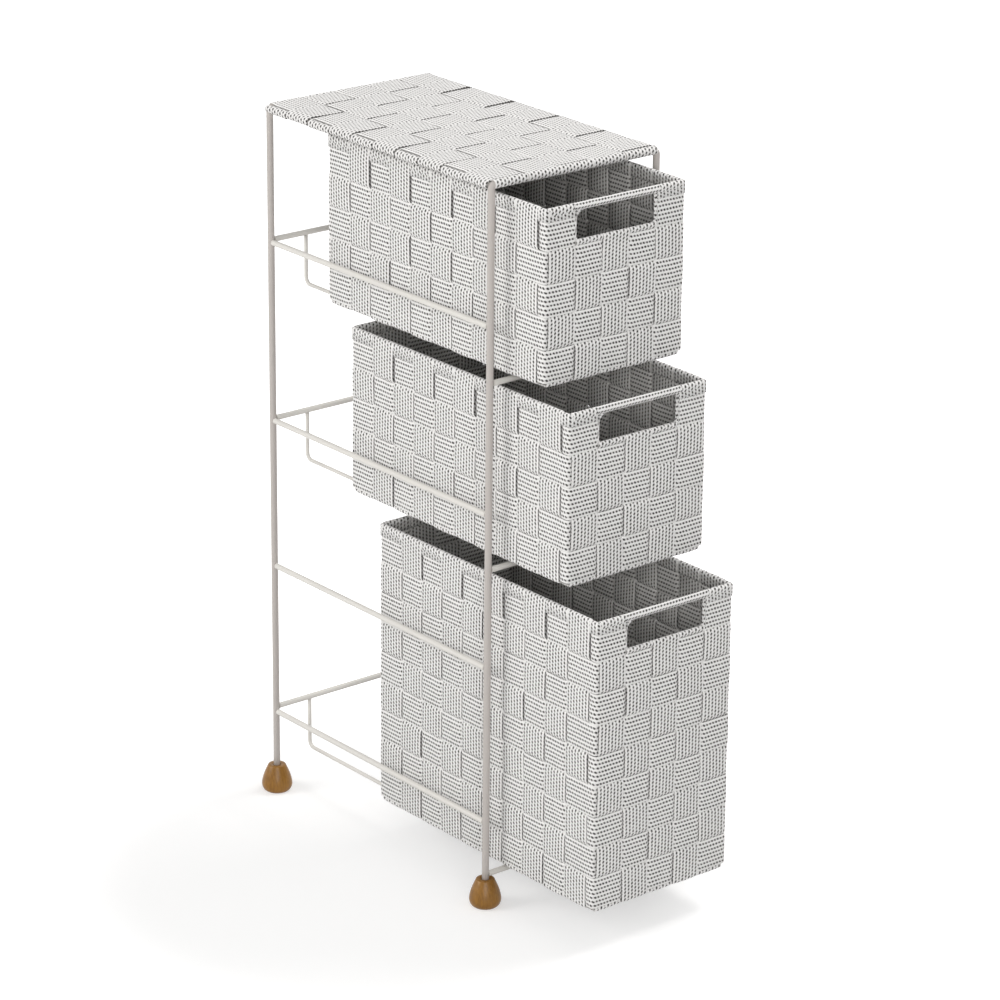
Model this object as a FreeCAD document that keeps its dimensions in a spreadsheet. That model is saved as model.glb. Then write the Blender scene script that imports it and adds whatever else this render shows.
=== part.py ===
"""Slim storage tower: a bent-wire rack with three woven baskets that slide out at the front.

Millimetres, +Z up, the baskets pull out towards -Y. The origin is the middle of the front left
foot's underside. Every driving size is a cell of the sheet "Sizes".
"""
import FreeCAD, Part
import Sketcher
import os

Vector = FreeCAD.Vector
Rotation = FreeCAD.Rotation

SIZES = {
    # Baskets: rows of strap loops round the walls, columns of upright straps
    "front_columns": (5, "upright straps across the front of a basket"),
    "side_columns": (10, "upright straps along the side of a basket"),
    "short_rows": (5, "strap loops up the wall of the upper and middle baskets"),
    "tall_rows": (9, "strap loops up the wall of the lower basket"),
    "column_pitch": (28.5, "from one upright strap to the next"),
    "row_pitch": (27.5, "from one strap loop to the next"),
    "strap_thick": (0.9, "thickness of the woven strap"),
    "weave_gap": (0.1, "room between straps where they cross"),
    "column_gap": (2, "between neighbouring upright straps"),
    "row_gap": (3.5, "between neighbouring strap loops"),
    "fold_run": (3, "length over which a strap changes side"),
    "corner_margin": (3.2, "from the outer column of straps to the basket's corner"),
    "bottom_fold": (4.5, "below the lowest row, where the straps turn under"),
    # Rim and handle slot
    "rim_height": (8, "height of the binding round the rim"),
    "binding_thick": (0.8, "thickness of the rim binding"),
    "rim_strip_height": (4.4, "height of the steel strip inside the rim"),
    "rim_strip_thick": (2, "thickness of the steel strip inside the rim"),
    "grip_thick": (6, "thickness of the tape-wrapped grip, both ways"),
    "grip_edge": (1.7, "how far the grip's edges are rounded off"),
    "slot_corner": (3, "how far the slot's corners are cut"),
    "edging_side": (2, "width of the slot's edging at its ends"),
    "edging_sill": (4.3, "height of the slot's edging at its bottom"),
    "edging_top": (0.8, "height of the slot's edging under the grip"),
    "edging_gap": (0.3, "from the slot's edging to the upright strap beside it"),
    # Wire rack
    "post_dia": (6, "wire of the two hoops that make the posts"),
    "rail_dia": (5, "wire of the side, back and front rails"),
    "runner_dia": (3.5, "wire of the runners under the baskets"),
    "hoop_corner": (3.5, "how far a hoop's top corners are cut back along each side"),
    "side_room": (9.55, "from a basket's side to the posts"),
    "depth_room": (8.6, "depth of the rack beyond the depth of a basket"),
    "ground_room": (32.5, "height of the lowest runners' middle above the floor"),
    "cradle_drop": (44, "from a side rail down to the runners below it"),
    "guide_rise": (140.5, "from the lowest side rail up to the guide rail"),
    "lower_bay_room": (14.5, "from the lower basket's rim to the middle runners"),
    "middle_bay_room": (10, "from the middle basket's rim to the upper runners"),
    "upper_bay_room": (11, "from the upper basket's rim to the hoops' top wire"),
    "upper_back_rise": (2, "upper back rail above the upper side rails"),
    "middle_back_rise": (1.5, "middle back rail above the middle side rails"),
    "lower_back_rise": (4.5, "lowest back rail above the lowest side rails"),
    "runner_spacing": (100, "between the two runners of a cradle"),
    "seat_gap": (0.3, "from a runner up to the basket that slides on it"),
    "back_gap": (1.5, "from the back rail to a basket pushed right in"),
    # How far each basket stands out of the rack
    "upper_pull": (58.2, "upper basket, forward of its pushed-in place"),
    "middle_pull": (90.5, "middle basket, forward of its pushed-in place"),
    "lower_pull": (130, "lower basket, forward of its pushed-in place"),
    # Turned wooden feet
    "foot_height": (24.5, "height of a foot"),
    "foot_base_dia": (20, "flat underside of a foot"),
    "foot_belly_dia": (27.5, "widest part of a foot"),
    "foot_belly_height": (8.5, "height of the widest part"),
    "foot_top_dia": (14.5, "flat top of a foot"),
    "socket_depth": (12, "how deep a post stands in its foot"),
    "socket_play": (0.1, "room between a post and its socket, all round"),
    # Woven top
    "top_columns": (5, "straps along the top, front to back"),
    "top_rows": (10, "straps across the top"),
    "top_margin": (6, "from a post's middle to the edge of the woven straps along the top"),
    "top_column_gap": (3, "between neighbouring straps along the top"),
    "top_row_gap": (3.4, "between neighbouring straps across the top"),
    "top_end_gap": (0.5, "from a hoop's top wire to where a strap starts down off it"),
    "tail_length": (6, "end of a top strap folded back under its wire"),
}

doc = FreeCAD.newDocument("StorageTower")
sheet = doc.addObject("Spreadsheet::Sheet", "Sizes")
for row, (alias, (number, note)) in enumerate(SIZES.items(), start=1):
    sheet.set(f"A{row}", alias)
    sheet.set(f"B{row}", str(number))
    sheet.setAlias(f"B{row}", alias)
    sheet.set(f"C{row}", note)
doc.recompute()

# Worked-out sizes, as expressions on the sheet
BASKET_WIDTH = "(Sizes.front_columns * Sizes.column_pitch + 2 * Sizes.corner_margin)"
BASKET_DEPTH = "(Sizes.side_columns * Sizes.column_pitch + 2 * Sizes.corner_margin)"
# A basket's wall has five layers of strap, one lift apart
LIFT = "(Sizes.strap_thick + Sizes.weave_gap)"
WALL = f"(4 * {LIFT} + Sizes.strap_thick)"
FRAME_WIDTH = f"({BASKET_WIDTH} + 2 * Sizes.side_room + Sizes.post_dia)"
FRAME_DEPTH = f"({BASKET_DEPTH} + Sizes.depth_room)"
FRAME_MIDDLE = f"({FRAME_WIDTH} / 2)"
POST_END = "(Sizes.foot_height - Sizes.socket_depth)"
# The top side wires meet the hoops in the middle of their cut-back corners
CORNER_INSET = "(Sizes.hoop_corner / 2)"


def basket_height(rows):
    return f"(Sizes.bottom_fold + Sizes.{rows} * Sizes.row_pitch + Sizes.rim_height)"


def seat_above(runner_height):
    return f"({runner_height} + Sizes.runner_dia / 2 + Sizes.seat_gap)"


LOWER_RUNNER = "Sizes.ground_room"
LOWER_TOP = f"{seat_above(LOWER_RUNNER)} + {basket_height('tall_rows')}"
MIDDLE_RUNNER = f"({LOWER_TOP} + Sizes.lower_bay_room)"
MIDDLE_TOP = f"{seat_above(MIDDLE_RUNNER)} + {basket_height('short_rows')}"
UPPER_RUNNER = f"({MIDDLE_TOP} + Sizes.middle_bay_room)"
UPPER_TOP = f"{seat_above(UPPER_RUNNER)} + {basket_height('short_rows')}"
TOP_WIRE = f"({UPPER_TOP} + Sizes.upper_bay_room)"

# Each level: the height of its runners and the rows of straps of its basket
LEVELS = {
    "upper": (UPPER_RUNNER, "short_rows"),
    "middle": (MIDDLE_RUNNER, "short_rows"),
    "lower": (LOWER_RUNNER, "tall_rows"),
}

TINY = 0.001
subparts = []


def value(expression):
    """The number that an expression on the sheet has now."""
    return float(sheet.evalExpression(expression))


def whole(expression):
    return round(value(expression))


def keep(feature, label):
    """Count a finished feature as a sub-part, under its own label."""
    feature.Label = label
    subparts.append(feature)


def place(feature, x="0", y="0", z="0"):
    """Tie a feature's place to expressions on the sheet."""
    feature.setExpression("Placement.Base.x", x)
    feature.setExpression("Placement.Base.y", y)
    feature.setExpression("Placement.Base.z", z)


# ---------------------------------------------------------------- sketches

def new_sketch(body, name, role, lift="0"):
    """A sketch on one of the body's origin planes, lifted along the plane's normal."""
    sketch = body.newObject("Sketcher::SketchObject", name)
    plane = next(item for item in body.Origin.OriginFeatures if item.Role == role)
    sketch.AttachmentSupport = (plane, [""])
    sketch.MapMode = "FlatFace"
    sketch.setExpression("AttachmentOffset.Base.z", lift)
    return sketch


def dimension(sketch, kind, *where, size):
    """Add a sketch dimension and tie it to an expression."""
    index = sketch.addConstraint(Sketcher.Constraint(kind, *where, value(size)))
    sketch.setExpression(f"Constraints[{index}]", size)


def pin(sketch, geometry, point, x, y):
    """Fix one point of a sketch's geometry at two expressions."""
    for kind, axis, size in (("DistanceX", -2, x), ("DistanceY", -1, y)):
        if size == "0":
            sketch.addConstraint(Sketcher.Constraint("PointOnObject", geometry, point, axis))
        else:
            dimension(sketch, kind, -1, 1, geometry, point, size=size)


def chain(sketch, corners, closed=False):
    """Straight lines through corners that are pinned at pairs of expressions."""
    spots = [Vector(value(x), value(y), 0) for x, y in corners]
    first = sketch.GeometryCount
    for index in range(len(corners) - 1):
        line = sketch.addGeometry(Part.LineSegment(spots[index], spots[index + 1]))
        pin(sketch, line, 1, *corners[index])
        if index:
            sketch.addConstraint(Sketcher.Constraint("Coincident", line - 1, 2, line, 1))
    pin(sketch, line, 2, *corners[-1])
    if closed:
        closing = sketch.addGeometry(Part.LineSegment(spots[-1], spots[0]))
        sketch.addConstraint(Sketcher.Constraint("Coincident", line, 2, closing, 1))
        sketch.addConstraint(Sketcher.Constraint("Coincident", closing, 2, first, 1))


def add_box(sketch, spots):
    """Four joined, level and upright lines through the corners; returns the first line."""
    first = sketch.GeometryCount
    for index in range(4):
        sketch.addGeometry(Part.LineSegment(spots[index], spots[(index + 1) % 4]))
    for index in range(4):
        line, following = first + index, first + (index + 1) % 4
        sketch.addConstraint(Sketcher.Constraint("Coincident", line, 2, following, 1))
        sketch.addConstraint(Sketcher.Constraint("Vertical" if index % 2 else "Horizontal", line))
    return first


def centred_box(sketch, width, depth):
    """A rectangle centred on the sketch's origin."""
    right, back = value(width) / 2, value(depth) / 2
    spots = [Vector(-right, -back, 0), Vector(right, -back, 0),
             Vector(right, back, 0), Vector(-right, back, 0)]
    first = add_box(sketch, spots)
    sketch.addConstraint(Sketcher.Constraint("Symmetric", first, 1, first + 1, 2, -1, 1))
    dimension(sketch, "DistanceX", first, 1, first, 2, size=width)
    dimension(sketch, "DistanceY", first + 1, 1, first + 1, 2, size=depth)


def ring_sketch(body, name, width, depth, thickness, lift="0"):
    """A rectangular ring: its outer size and its wall."""
    sketch = new_sketch(body, name, "XY_Plane", lift)
    centred_box(sketch, width, depth)
    centred_box(sketch, f"{width} - 2 * {thickness}", f"{depth} - 2 * {thickness}")
    return sketch


def pad(body, sketch, length):
    feature = body.newObject("PartDesign::Pad", "Pad")
    feature.Profile = sketch
    feature.setExpression("Length", length)
    return feature


# ---------------------------------------------------------------- wire rack

ALONG_X = Rotation(Vector(0, 1, 0), 90)
ALONG_Y = Rotation(Vector(1, 0, 0), -90)


def straight_wire(label, dia, length, turn, x, y, z):
    """A straight wire whose flat end starts at x, y, z."""
    wire = doc.addObject("Part::Cylinder", label)
    wire.setExpression("Radius", f"Sizes.{dia} / 2")
    wire.setExpression("Height", length)
    wire.Placement = FreeCAD.Placement(Vector(), turn)
    place(wire, x, y, z)
    keep(wire, label)


def pipe(body, path, edges, dia, start, y="0"):
    """Sweep a wire of the given diameter along a path that starts upright at height start."""
    section = new_sketch(body, "Section", "XY_Plane", start)
    middle = Vector(0, value(y), 0)
    circle = section.addGeometry(Part.Circle(middle, Vector(0, 0, 1), value(dia) / 2))
    pin(section, circle, 3, "0", y)
    dimension(section, "Diameter", circle, size=dia)
    sweep = body.newObject("PartDesign::AdditivePipe", "Wire")
    sweep.Profile = section
    sweep.Spine = (path, [f"Edge{number + 1}" for number in range(edges)])
    sweep.Transition = "Right corner"


def hoop(label, y):
    """Two posts and the top wire between them, bent from one wire."""
    body = doc.addObject("PartDesign::Body", label)
    path = new_sketch(body, "Path", "XZ_Plane")
    shoulder = f"({TOP_WIRE} - Sizes.hoop_corner)"
    chain(path, [("0", POST_END),
                 ("0", shoulder),
                 ("Sizes.hoop_corner", TOP_WIRE),
                 (f"{FRAME_WIDTH} - Sizes.hoop_corner", TOP_WIRE),
                 (FRAME_WIDTH, shoulder),
                 (FRAME_WIDTH, POST_END)])
    pipe(body, path, 5, "Sizes.post_dia", POST_END)
    place(body, y=y)
    keep(body, label)


def runner(label, x, height, back_rail):
    """A wire hung from the back rail and turned forward under the basket to the front rail."""
    body = doc.addObject("PartDesign::Body", label)
    path = new_sketch(body, "Path", "YZ_Plane")
    leg_top = f"({back_rail} - Sizes.rail_dia / 2)"
    chain(path, [(FRAME_DEPTH, leg_top),
                 (FRAME_DEPTH, height),
                 ("-Sizes.rail_dia / 2", height)])
    pipe(body, path, 2, "Sizes.runner_dia", leg_top, FRAME_DEPTH)
    place(body, x=x)
    keep(body, label)


def foot(x, y):
    """A turned foot: flat base, belly, and a cone with a socket in its flat top."""
    body = doc.addObject("PartDesign::Body", "Foot")
    half = new_sketch(body, "HalfSection", "XZ_Plane")
    socket = "(Sizes.post_dia / 2 + Sizes.socket_play)"
    chain(half, [("0", "0"),
                 ("Sizes.foot_base_dia / 2", "0"),
                 ("Sizes.foot_belly_dia / 2", "Sizes.foot_belly_height"),
                 ("Sizes.foot_top_dia / 2", "Sizes.foot_height"),
                 (socket, "Sizes.foot_height"),
                 (socket, POST_END),
                 ("0", POST_END)], closed=True)
    turned = body.newObject("PartDesign::Revolution", "Turned")
    turned.Profile = half
    turned.ReferenceAxis = (half, ["V_Axis"])
    place(body, x=x, y=y)
    return body


def make_rack():
    hoop("front_hoop", "0")
    hoop("back_hoop", FRAME_DEPTH)
    post = "Sizes.post_dia / 2"
    between_hoops = f"{FRAME_DEPTH} - Sizes.post_dia"
    between_posts = f"{FRAME_WIDTH} - Sizes.post_dia"
    feet = []
    for side, x, inset in (("left", "0", CORNER_INSET),
                           ("right", FRAME_WIDTH, f"-{CORNER_INSET}")):
        straight_wire(f"top_wire_{side}", "rail_dia", between_hoops, ALONG_Y,
                      f"{x} + {inset}", post, f"{TOP_WIRE} - {CORNER_INSET}")
        for level, (height, rows) in LEVELS.items():
            straight_wire(f"{level}_side_rail_{side}", "rail_dia", between_hoops, ALONG_Y,
                          x, post, f"{height} + Sizes.cradle_drop")
        straight_wire(f"guide_rail_{side}", "rail_dia", between_hoops, ALONG_Y,
                      x, post, f"{LOWER_RUNNER} + Sizes.cradle_drop + Sizes.guide_rise")
        feet += [foot(x, "0"), foot(x, FRAME_DEPTH)]
    for level, (height, rows) in LEVELS.items():
        back_rail = f"({height} + Sizes.cradle_drop + Sizes.{level}_back_rise)"
        straight_wire(f"{level}_back_rail", "rail_dia", between_posts, ALONG_X,
                      post, FRAME_DEPTH, back_rail)
        straight_wire(f"{level}_front_rail", "rail_dia", between_posts, ALONG_X,
                      post, "0", f"{height} - (Sizes.runner_dia + Sizes.rail_dia) / 2")
        for side, sign in (("left", "-"), ("right", "+")):
            runner(f"{level}_runner_{side}", f"{FRAME_MIDDLE} {sign} Sizes.runner_spacing / 2",
                   height, back_rail)
    set_of_four = doc.addObject("Part::Compound", "feet")
    set_of_four.Links = feet
    keep(set_of_four, "wooden_feet")


# ---------------------------------------------------------------- woven straps

def strap_solid(outline, across, width, along_y):
    """A strap from its edge-on outline (along, up), centred on across and as wide as given."""
    low = across - width / 2
    if along_y:
        corners = [Vector(low, along, up) for along, up in outline]
        sweep = Vector(width, 0, 0)
    else:
        corners = [Vector(along, low, up) for along, up in outline]
        sweep = Vector(0, width, 0)
    return Part.Face(Part.makePolygon(corners + corners[:1])).extrude(sweep)


def add_straps(label, solids, x="0", y="0", z="0"):
    """One sub-part out of several separate straps."""
    feature = doc.addObject("Part::Feature", label)
    feature.Shape = Part.makeCompound(solids)
    place(feature, x, y, z)
    keep(feature, label)


def upright(count, number, first):
    """Points (out, up) of an upright strap from the foot of the rim down its basket's wall.

    Columns of odd number run straight down the wall's middle, between the loops. The others
    weave: outside the first loop under the rim, inside the second and so on. first is the row
    that the strap starts in.
    """
    row_pitch = value("Sizes.row_pitch")
    bottoms = [value("Sizes.bottom_fold") + (count - row) * row_pitch for row in range(count + 1)]
    if number % 2 == 1:
        return [(0, bottoms[first - 1])]
    swing, run = 2 * value(LIFT), value("Sizes.fold_run") / 2
    out = [swing if row % 2 == 1 else -swing for row in range(count + 1)]
    points = [(out[first], bottoms[first - 1])]
    for row in range(first, count):
        points += [(out[row], bottoms[row] + run), (out[row + 1], bottoms[row] - run)]
    return points


def u_outline(span, first, second, floor):
    """Edge-on outline of a strap down one wall, under the basket and up the opposite wall.

    span lies between the middles of the two walls; first and second hold points (out, up).
    """
    thick = value("Sizes.strap_thick")

    def surface(side, level):
        down = [(-span / 2 - out - side, up) for out, up in first]
        rise = [(span / 2 + out + side, up) for out, up in reversed(second)]
        return down + [(down[-1][0], level), (rise[0][0], level)] + rise

    return surface(thick / 2, floor) + surface(-thick / 2, floor + thick)[::-1]


def slot_half(inset="0"):
    """Half the width of the handle slot's edging, less an inset."""
    return (f"((Sizes.front_columns / 2 - 1) * Sizes.column_pitch + Sizes.column_gap / 2"
            f" - Sizes.edging_gap - {inset})")


def upright_straps(rows, crosswise):
    """The straps of a basket that run one way: down a wall, under it and up the other wall.

    The columns are numbered on round the basket from the back of its left side, and the rows
    from the rim down.
    """
    count, front = whole(f"Sizes.{rows}"), whole("Sizes.front_columns")
    side, pitch = whole("Sizes.side_columns"), value("Sizes.column_pitch")
    width = pitch - value("Sizes.column_gap")
    columns = side if crosswise else front
    span = value(f"{BASKET_WIDTH if crosswise else BASKET_DEPTH} - {WALL}")
    floor = value(LIFT) if crosswise else 0
    solids = []
    for index in range(columns):
        across = (index - (columns - 1) / 2) * pitch
        if crosswise:
            near, far = side - index, side + front + 1 + index
        else:
            near, far = side + 1 + index, 2 * (side + front) - index
        under_slot = not crosswise and abs(across) < value(slot_half())
        walls = [upright(count, near, 2 if under_slot else 1), upright(count, far, 1)]
        solids.append(strap_solid(u_outline(span, *walls, floor), across, width, not crosswise))
    return solids


# ---------------------------------------------------------------- baskets

def loops(label, rows, outer, x, y, z):
    """Every other strap loop round the walls, outside or inside the straight uprights."""
    body = doc.addObject("PartDesign::Body", label)
    body.AllowCompound = True
    layer = 1 if outer else 3
    spare = f"mod(Sizes.{rows} {'+ 1' if outer else ''}; 2)"
    number = f"((Sizes.{rows} {'+' if outer else '-'} mod(Sizes.{rows}; 2)) / 2)"
    lowest = f"Sizes.bottom_fold + Sizes.row_gap / 2 + {spare} * Sizes.row_pitch"
    ring = ring_sketch(body, "Loop", f"({BASKET_WIDTH} - {2 * layer} * {LIFT})",
                       f"({BASKET_DEPTH} - {2 * layer} * {LIFT})", "Sizes.strap_thick", lowest)
    pad(body, ring, "Sizes.row_pitch - Sizes.row_gap")
    doc.recompute()
    pattern = body.newObject("PartDesign::LinearPattern", "Rows")
    pattern.Originals = [body.Tip]
    pattern.Direction = (ring, ["N_Axis"])
    pattern.setExpression("Length", f"({number} - 1) * 2 * Sizes.row_pitch")
    pattern.setExpression("Occurrences", number)
    body.Tip = pattern
    if outer:
        doc.recompute()
        cut_front(body, f"Sizes.bottom_fold + (Sizes.{rows} - 1) * Sizes.row_pitch")
    place(body, x, y, z)
    keep(body, label)


def cut_front(body, low):
    """Cut the front wall away above a height, as wide as the slot's edging."""
    notch = body.newObject("PartDesign::SubtractiveBox", "Slot")
    notch.setExpression("Length", f"2 * {slot_half()}")
    notch.setExpression("Width", f"2 * {WALL}")
    notch.setExpression("Height", "Sizes.row_pitch + 2 * Sizes.rim_height")
    plane = next(item for item in body.Origin.OriginFeatures if item.Role == "XY_Plane")
    notch.AttachmentSupport = (plane, [""])
    notch.MapMode = "FlatFace"
    notch.setExpression("AttachmentOffset.Base.x", f"-{slot_half()}")
    notch.setExpression("AttachmentOffset.Base.y", f"-{BASKET_DEPTH} / 2 - {WALL} / 2")
    notch.setExpression("AttachmentOffset.Base.z", low)


def binding(label, rows, x, y, z):
    """The binding folded over the rim: a channel, open downwards and cut at the grip."""
    body = doc.addObject("PartDesign::Body", label)
    low = f"({basket_height(rows)} - Sizes.rim_height)"
    outer = ring_sketch(body, "Band", BASKET_WIDTH, BASKET_DEPTH, WALL, low)
    pad(body, outer, "Sizes.rim_height")
    doc.recompute()
    inset = "2 * Sizes.binding_thick"
    inside = ring_sketch(body, "Channel", f"{BASKET_WIDTH} - {inset}",
                         f"{BASKET_DEPTH} - {inset}", f"({WALL} - {inset})", low)
    hollow = body.newObject("PartDesign::Pocket", "Hollow")
    hollow.Profile = inside
    hollow.Reversed = True
    hollow.setExpression("Length", "Sizes.rim_height - Sizes.binding_thick")
    doc.recompute()
    cut_front(body, low)
    place(body, x, y, z)
    keep(body, label)


def rim_strip(label, rows, x, y, z):
    """The flat steel ring that stiffens the rim, inside the binding."""
    body = doc.addObject("PartDesign::Body", label)
    spare = f"({WALL} - Sizes.rim_strip_thick)"
    top = f"({basket_height(rows)} - Sizes.binding_thick)"
    ring = ring_sketch(body, "Strip", f"{BASKET_WIDTH} - {spare}", f"{BASKET_DEPTH} - {spare}",
                       "Sizes.rim_strip_thick", f"{top} - Sizes.rim_strip_height")
    pad(body, ring, "Sizes.rim_strip_height")
    place(body, x, y, z)
    keep(body, label)


def strip_middle(rows):
    return f"({basket_height(rows)} - Sizes.binding_thick - Sizes.rim_strip_height / 2)"


def cut_corners(body, base, along, chosen, size):
    """Chamfer the chosen edges among those that run straight along a direction."""
    edges = [f"Edge{number}" for number, edge in enumerate(base.Shape.Edges, start=1)
             if abs(edge.tangentAt(edge.FirstParameter).dot(along)) > 1 - TINY
             and chosen(edge.CenterOfMass)]
    corners = body.newObject("PartDesign::Chamfer", "Corners")
    corners.Base = (base, edges)
    corners.setExpression("Size", size)


def grip(label, rows, x, y, z):
    """Tape wound round the rim strip above the slot."""
    body = doc.addObject("PartDesign::Body", label)
    section = new_sketch(body, "Section", "YZ_Plane")
    centred_box(section, "Sizes.grip_thick", "Sizes.grip_thick")
    centred_box(section, "Sizes.rim_strip_thick", "Sizes.rim_strip_height")
    tape = pad(body, section, f"2 * {slot_half()}")
    tape.SideType = "Symmetric"
    doc.recompute()
    edge = value("Sizes.grip_thick / 2") - TINY
    cut_corners(body, tape, Vector(1, 0, 0), lambda spot: abs(spot.y) > edge, "Sizes.grip_edge")
    place(body, x, f"{y} - ({BASKET_DEPTH} - {WALL}) / 2", f"{z} + {strip_middle(rows)}")
    keep(body, label)


def box_between(sketch, half, low, high):
    """A rectangle from -half to half across and from low to high."""
    left, right, bottom, top = -value(half), value(half), value(low), value(high)
    spots = [Vector(left, bottom, 0), Vector(right, bottom, 0),
             Vector(right, top, 0), Vector(left, top, 0)]
    first = add_box(sketch, spots)
    pin(sketch, first, 1, f"-{half}", low)
    pin(sketch, first + 1, 2, half, high)


def slot_edging(label, rows, x, y, z):
    """The edging round the handle slot, in the plane of the front wall."""
    body = doc.addObject("PartDesign::Body", label)
    sketch = new_sketch(body, "Edging", "XZ_Plane")
    sill = f"(Sizes.bottom_fold + (Sizes.{rows} - 1) * Sizes.row_pitch)"
    head = f"({strip_middle(rows)} - Sizes.grip_thick / 2)"
    clear = slot_half("Sizes.edging_side")
    box_between(sketch, slot_half(), sill, head)
    box_between(sketch, clear, f"{sill} + Sizes.edging_sill", f"{head} - Sizes.edging_top")
    frame = pad(body, sketch, WALL)
    frame.SideType = "Symmetric"
    doc.recompute()
    side = value(slot_half()) - TINY
    cut_corners(body, frame, Vector(0, 1, 0), lambda spot: abs(spot.x) < side, "Sizes.slot_corner")
    place(body, x, f"{y} - ({BASKET_DEPTH} - {WALL}) / 2", z)
    keep(body, label)


def make_basket(name):
    height, rows = LEVELS[name]
    back_stop = f"({FRAME_DEPTH} - Sizes.rail_dia / 2 - Sizes.back_gap)"
    x, z = FRAME_MIDDLE, seat_above(height)
    y = f"({back_stop} - {BASKET_DEPTH} / 2 - Sizes.{name}_pull)"
    loops(f"{name}_basket_outer_loops", rows, True, x, y, z)
    loops(f"{name}_basket_inner_loops", rows, False, x, y, z)
    add_straps(f"{name}_basket_long_straps", upright_straps(rows, False), x, y, z)
    add_straps(f"{name}_basket_cross_straps", upright_straps(rows, True), x, y, z)
    rim_strip(f"{name}_basket_rim_strip", rows, x, y, z)
    binding(f"{name}_basket_rim_binding", rows, x, y, z)
    grip(f"{name}_basket_grip", rows, x, y, z)
    slot_edging(f"{name}_basket_slot_edging", rows, x, y, z)


# ---------------------------------------------------------------- woven top

def wrapped_outline(first, last, wire, radius, under):
    """Edge-on outline of a strap over two wires, its tails folded back under them.

    first and last are the places of the two wires at height wire; under holds the points of the
    strap's underside between them.
    """
    thick, tail = value("Sizes.strap_thick"), value("Sizes.tail_length")
    reach = radius + thick
    outer = [(first + tail, wire - reach), (first - reach, wire - reach),
             (first - reach, wire + reach)]
    outer += [(along, up + thick) for along, up in under]
    outer += [(last + reach, wire + reach), (last + reach, wire - reach),
              (last - tail, wire - reach)]
    inner = [(last - tail, wire - radius), (last + radius, wire - radius),
             (last + radius, wire + radius)]
    inner += under[::-1]
    inner += [(first - radius, wire + radius), (first - radius, wire - radius),
              (first + tail, wire - radius)]
    return outer + inner


def make_top():
    """Straps across the top go straight over the side wires, those along it weave through them."""
    rows, columns = whole("Sizes.top_rows"), whole("Sizes.top_columns")
    depth, top_wire = value(FRAME_DEPTH), value(TOP_WIRE)
    post, rail = value("Sizes.post_dia / 2"), value("Sizes.rail_dia / 2")
    row_gap, column_gap = value("Sizes.top_row_gap"), value("Sizes.top_column_gap")
    run, thick = value("Sizes.fold_run"), value("Sizes.strap_thick")
    # From a hoop's wire the strap runs level, then down, then under or over the first cross strap
    end_room = value("Sizes.top_end_gap") + (row_gap + run) / 2
    cross_width = (depth - 2 * (post + end_room) - (rows - 1) * row_gap) / rows
    row_pitch = cross_width + row_gap
    side_wire = top_wire - value(CORNER_INSET)
    left, right = value(CORNER_INSET), value(f"{FRAME_WIDTH} - {CORNER_INSET}")
    cross = wrapped_outline(left, right, side_wire, rail, [])
    first_row = post + end_room + cross_width / 2
    middles = [first_row + row * row_pitch for row in range(rows)]
    add_straps("top_cross_straps",
               [strap_solid(cross, middle, cross_width, False) for middle in middles])

    edge_to_edge = value(f"{FRAME_WIDTH} - 2 * Sizes.top_margin")
    long_width = (edge_to_edge - (columns - 1) * column_gap) / columns
    cross_level = side_wire + rail
    solids = []
    for column in range(columns):
        heights = [top_wire + post]
        for row in range(rows):
            lift = value(LIFT) if (rows + row + column) % 2 == 1 else -value(LIFT)
            heights.append(cross_level + lift)
        heights.append(top_wire + post)
        under = []
        for row in range(rows + 1):
            boundary = first_row + (row - 1 / 2) * row_pitch
            under += [(boundary - run / 2, heights[row]), (boundary + run / 2, heights[row + 1])]
        outline = wrapped_outline(0, depth, top_wire, post, under)
        across = value(FRAME_MIDDLE) + (column - (columns - 1) / 2) * (long_width + column_gap)
        solids.append(strap_solid(outline, across, long_width, True))
    add_straps("top_long_straps", solids)


# ---------------------------------------------------------------- build, check, write

def check(feature):
    shape = feature.Shape
    if shape.isNull() or not shape.isValid() or not shape.Solids:
        raise RuntimeError(f"{feature.Label}: no valid solid")


def main():
    make_rack()
    make_top()
    for name in LEVELS:
        make_basket(name)
    doc.recompute()
    for item in doc.Objects:
        if "Invalid" in item.State or "Error" in item.State:
            raise RuntimeError(f"{item.Label}: {item.State}")
    os.makedirs("parts", exist_ok=True)
    for feature in subparts:
        check(feature)
        feature.Shape.exportStep(f"parts/{feature.Label}.step")
    print(f"{len(subparts)} sub-parts")


main()
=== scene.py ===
"""Slim storage tower: a bent-wire rack on turned feet, with three woven baskets and a woven top.

Every piece is built as a mesh in metres, where the frame's own nodes lie, and rides on its body.
"""
import math

import bpy
import numpy
from mathutils import Matrix, Vector


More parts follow.
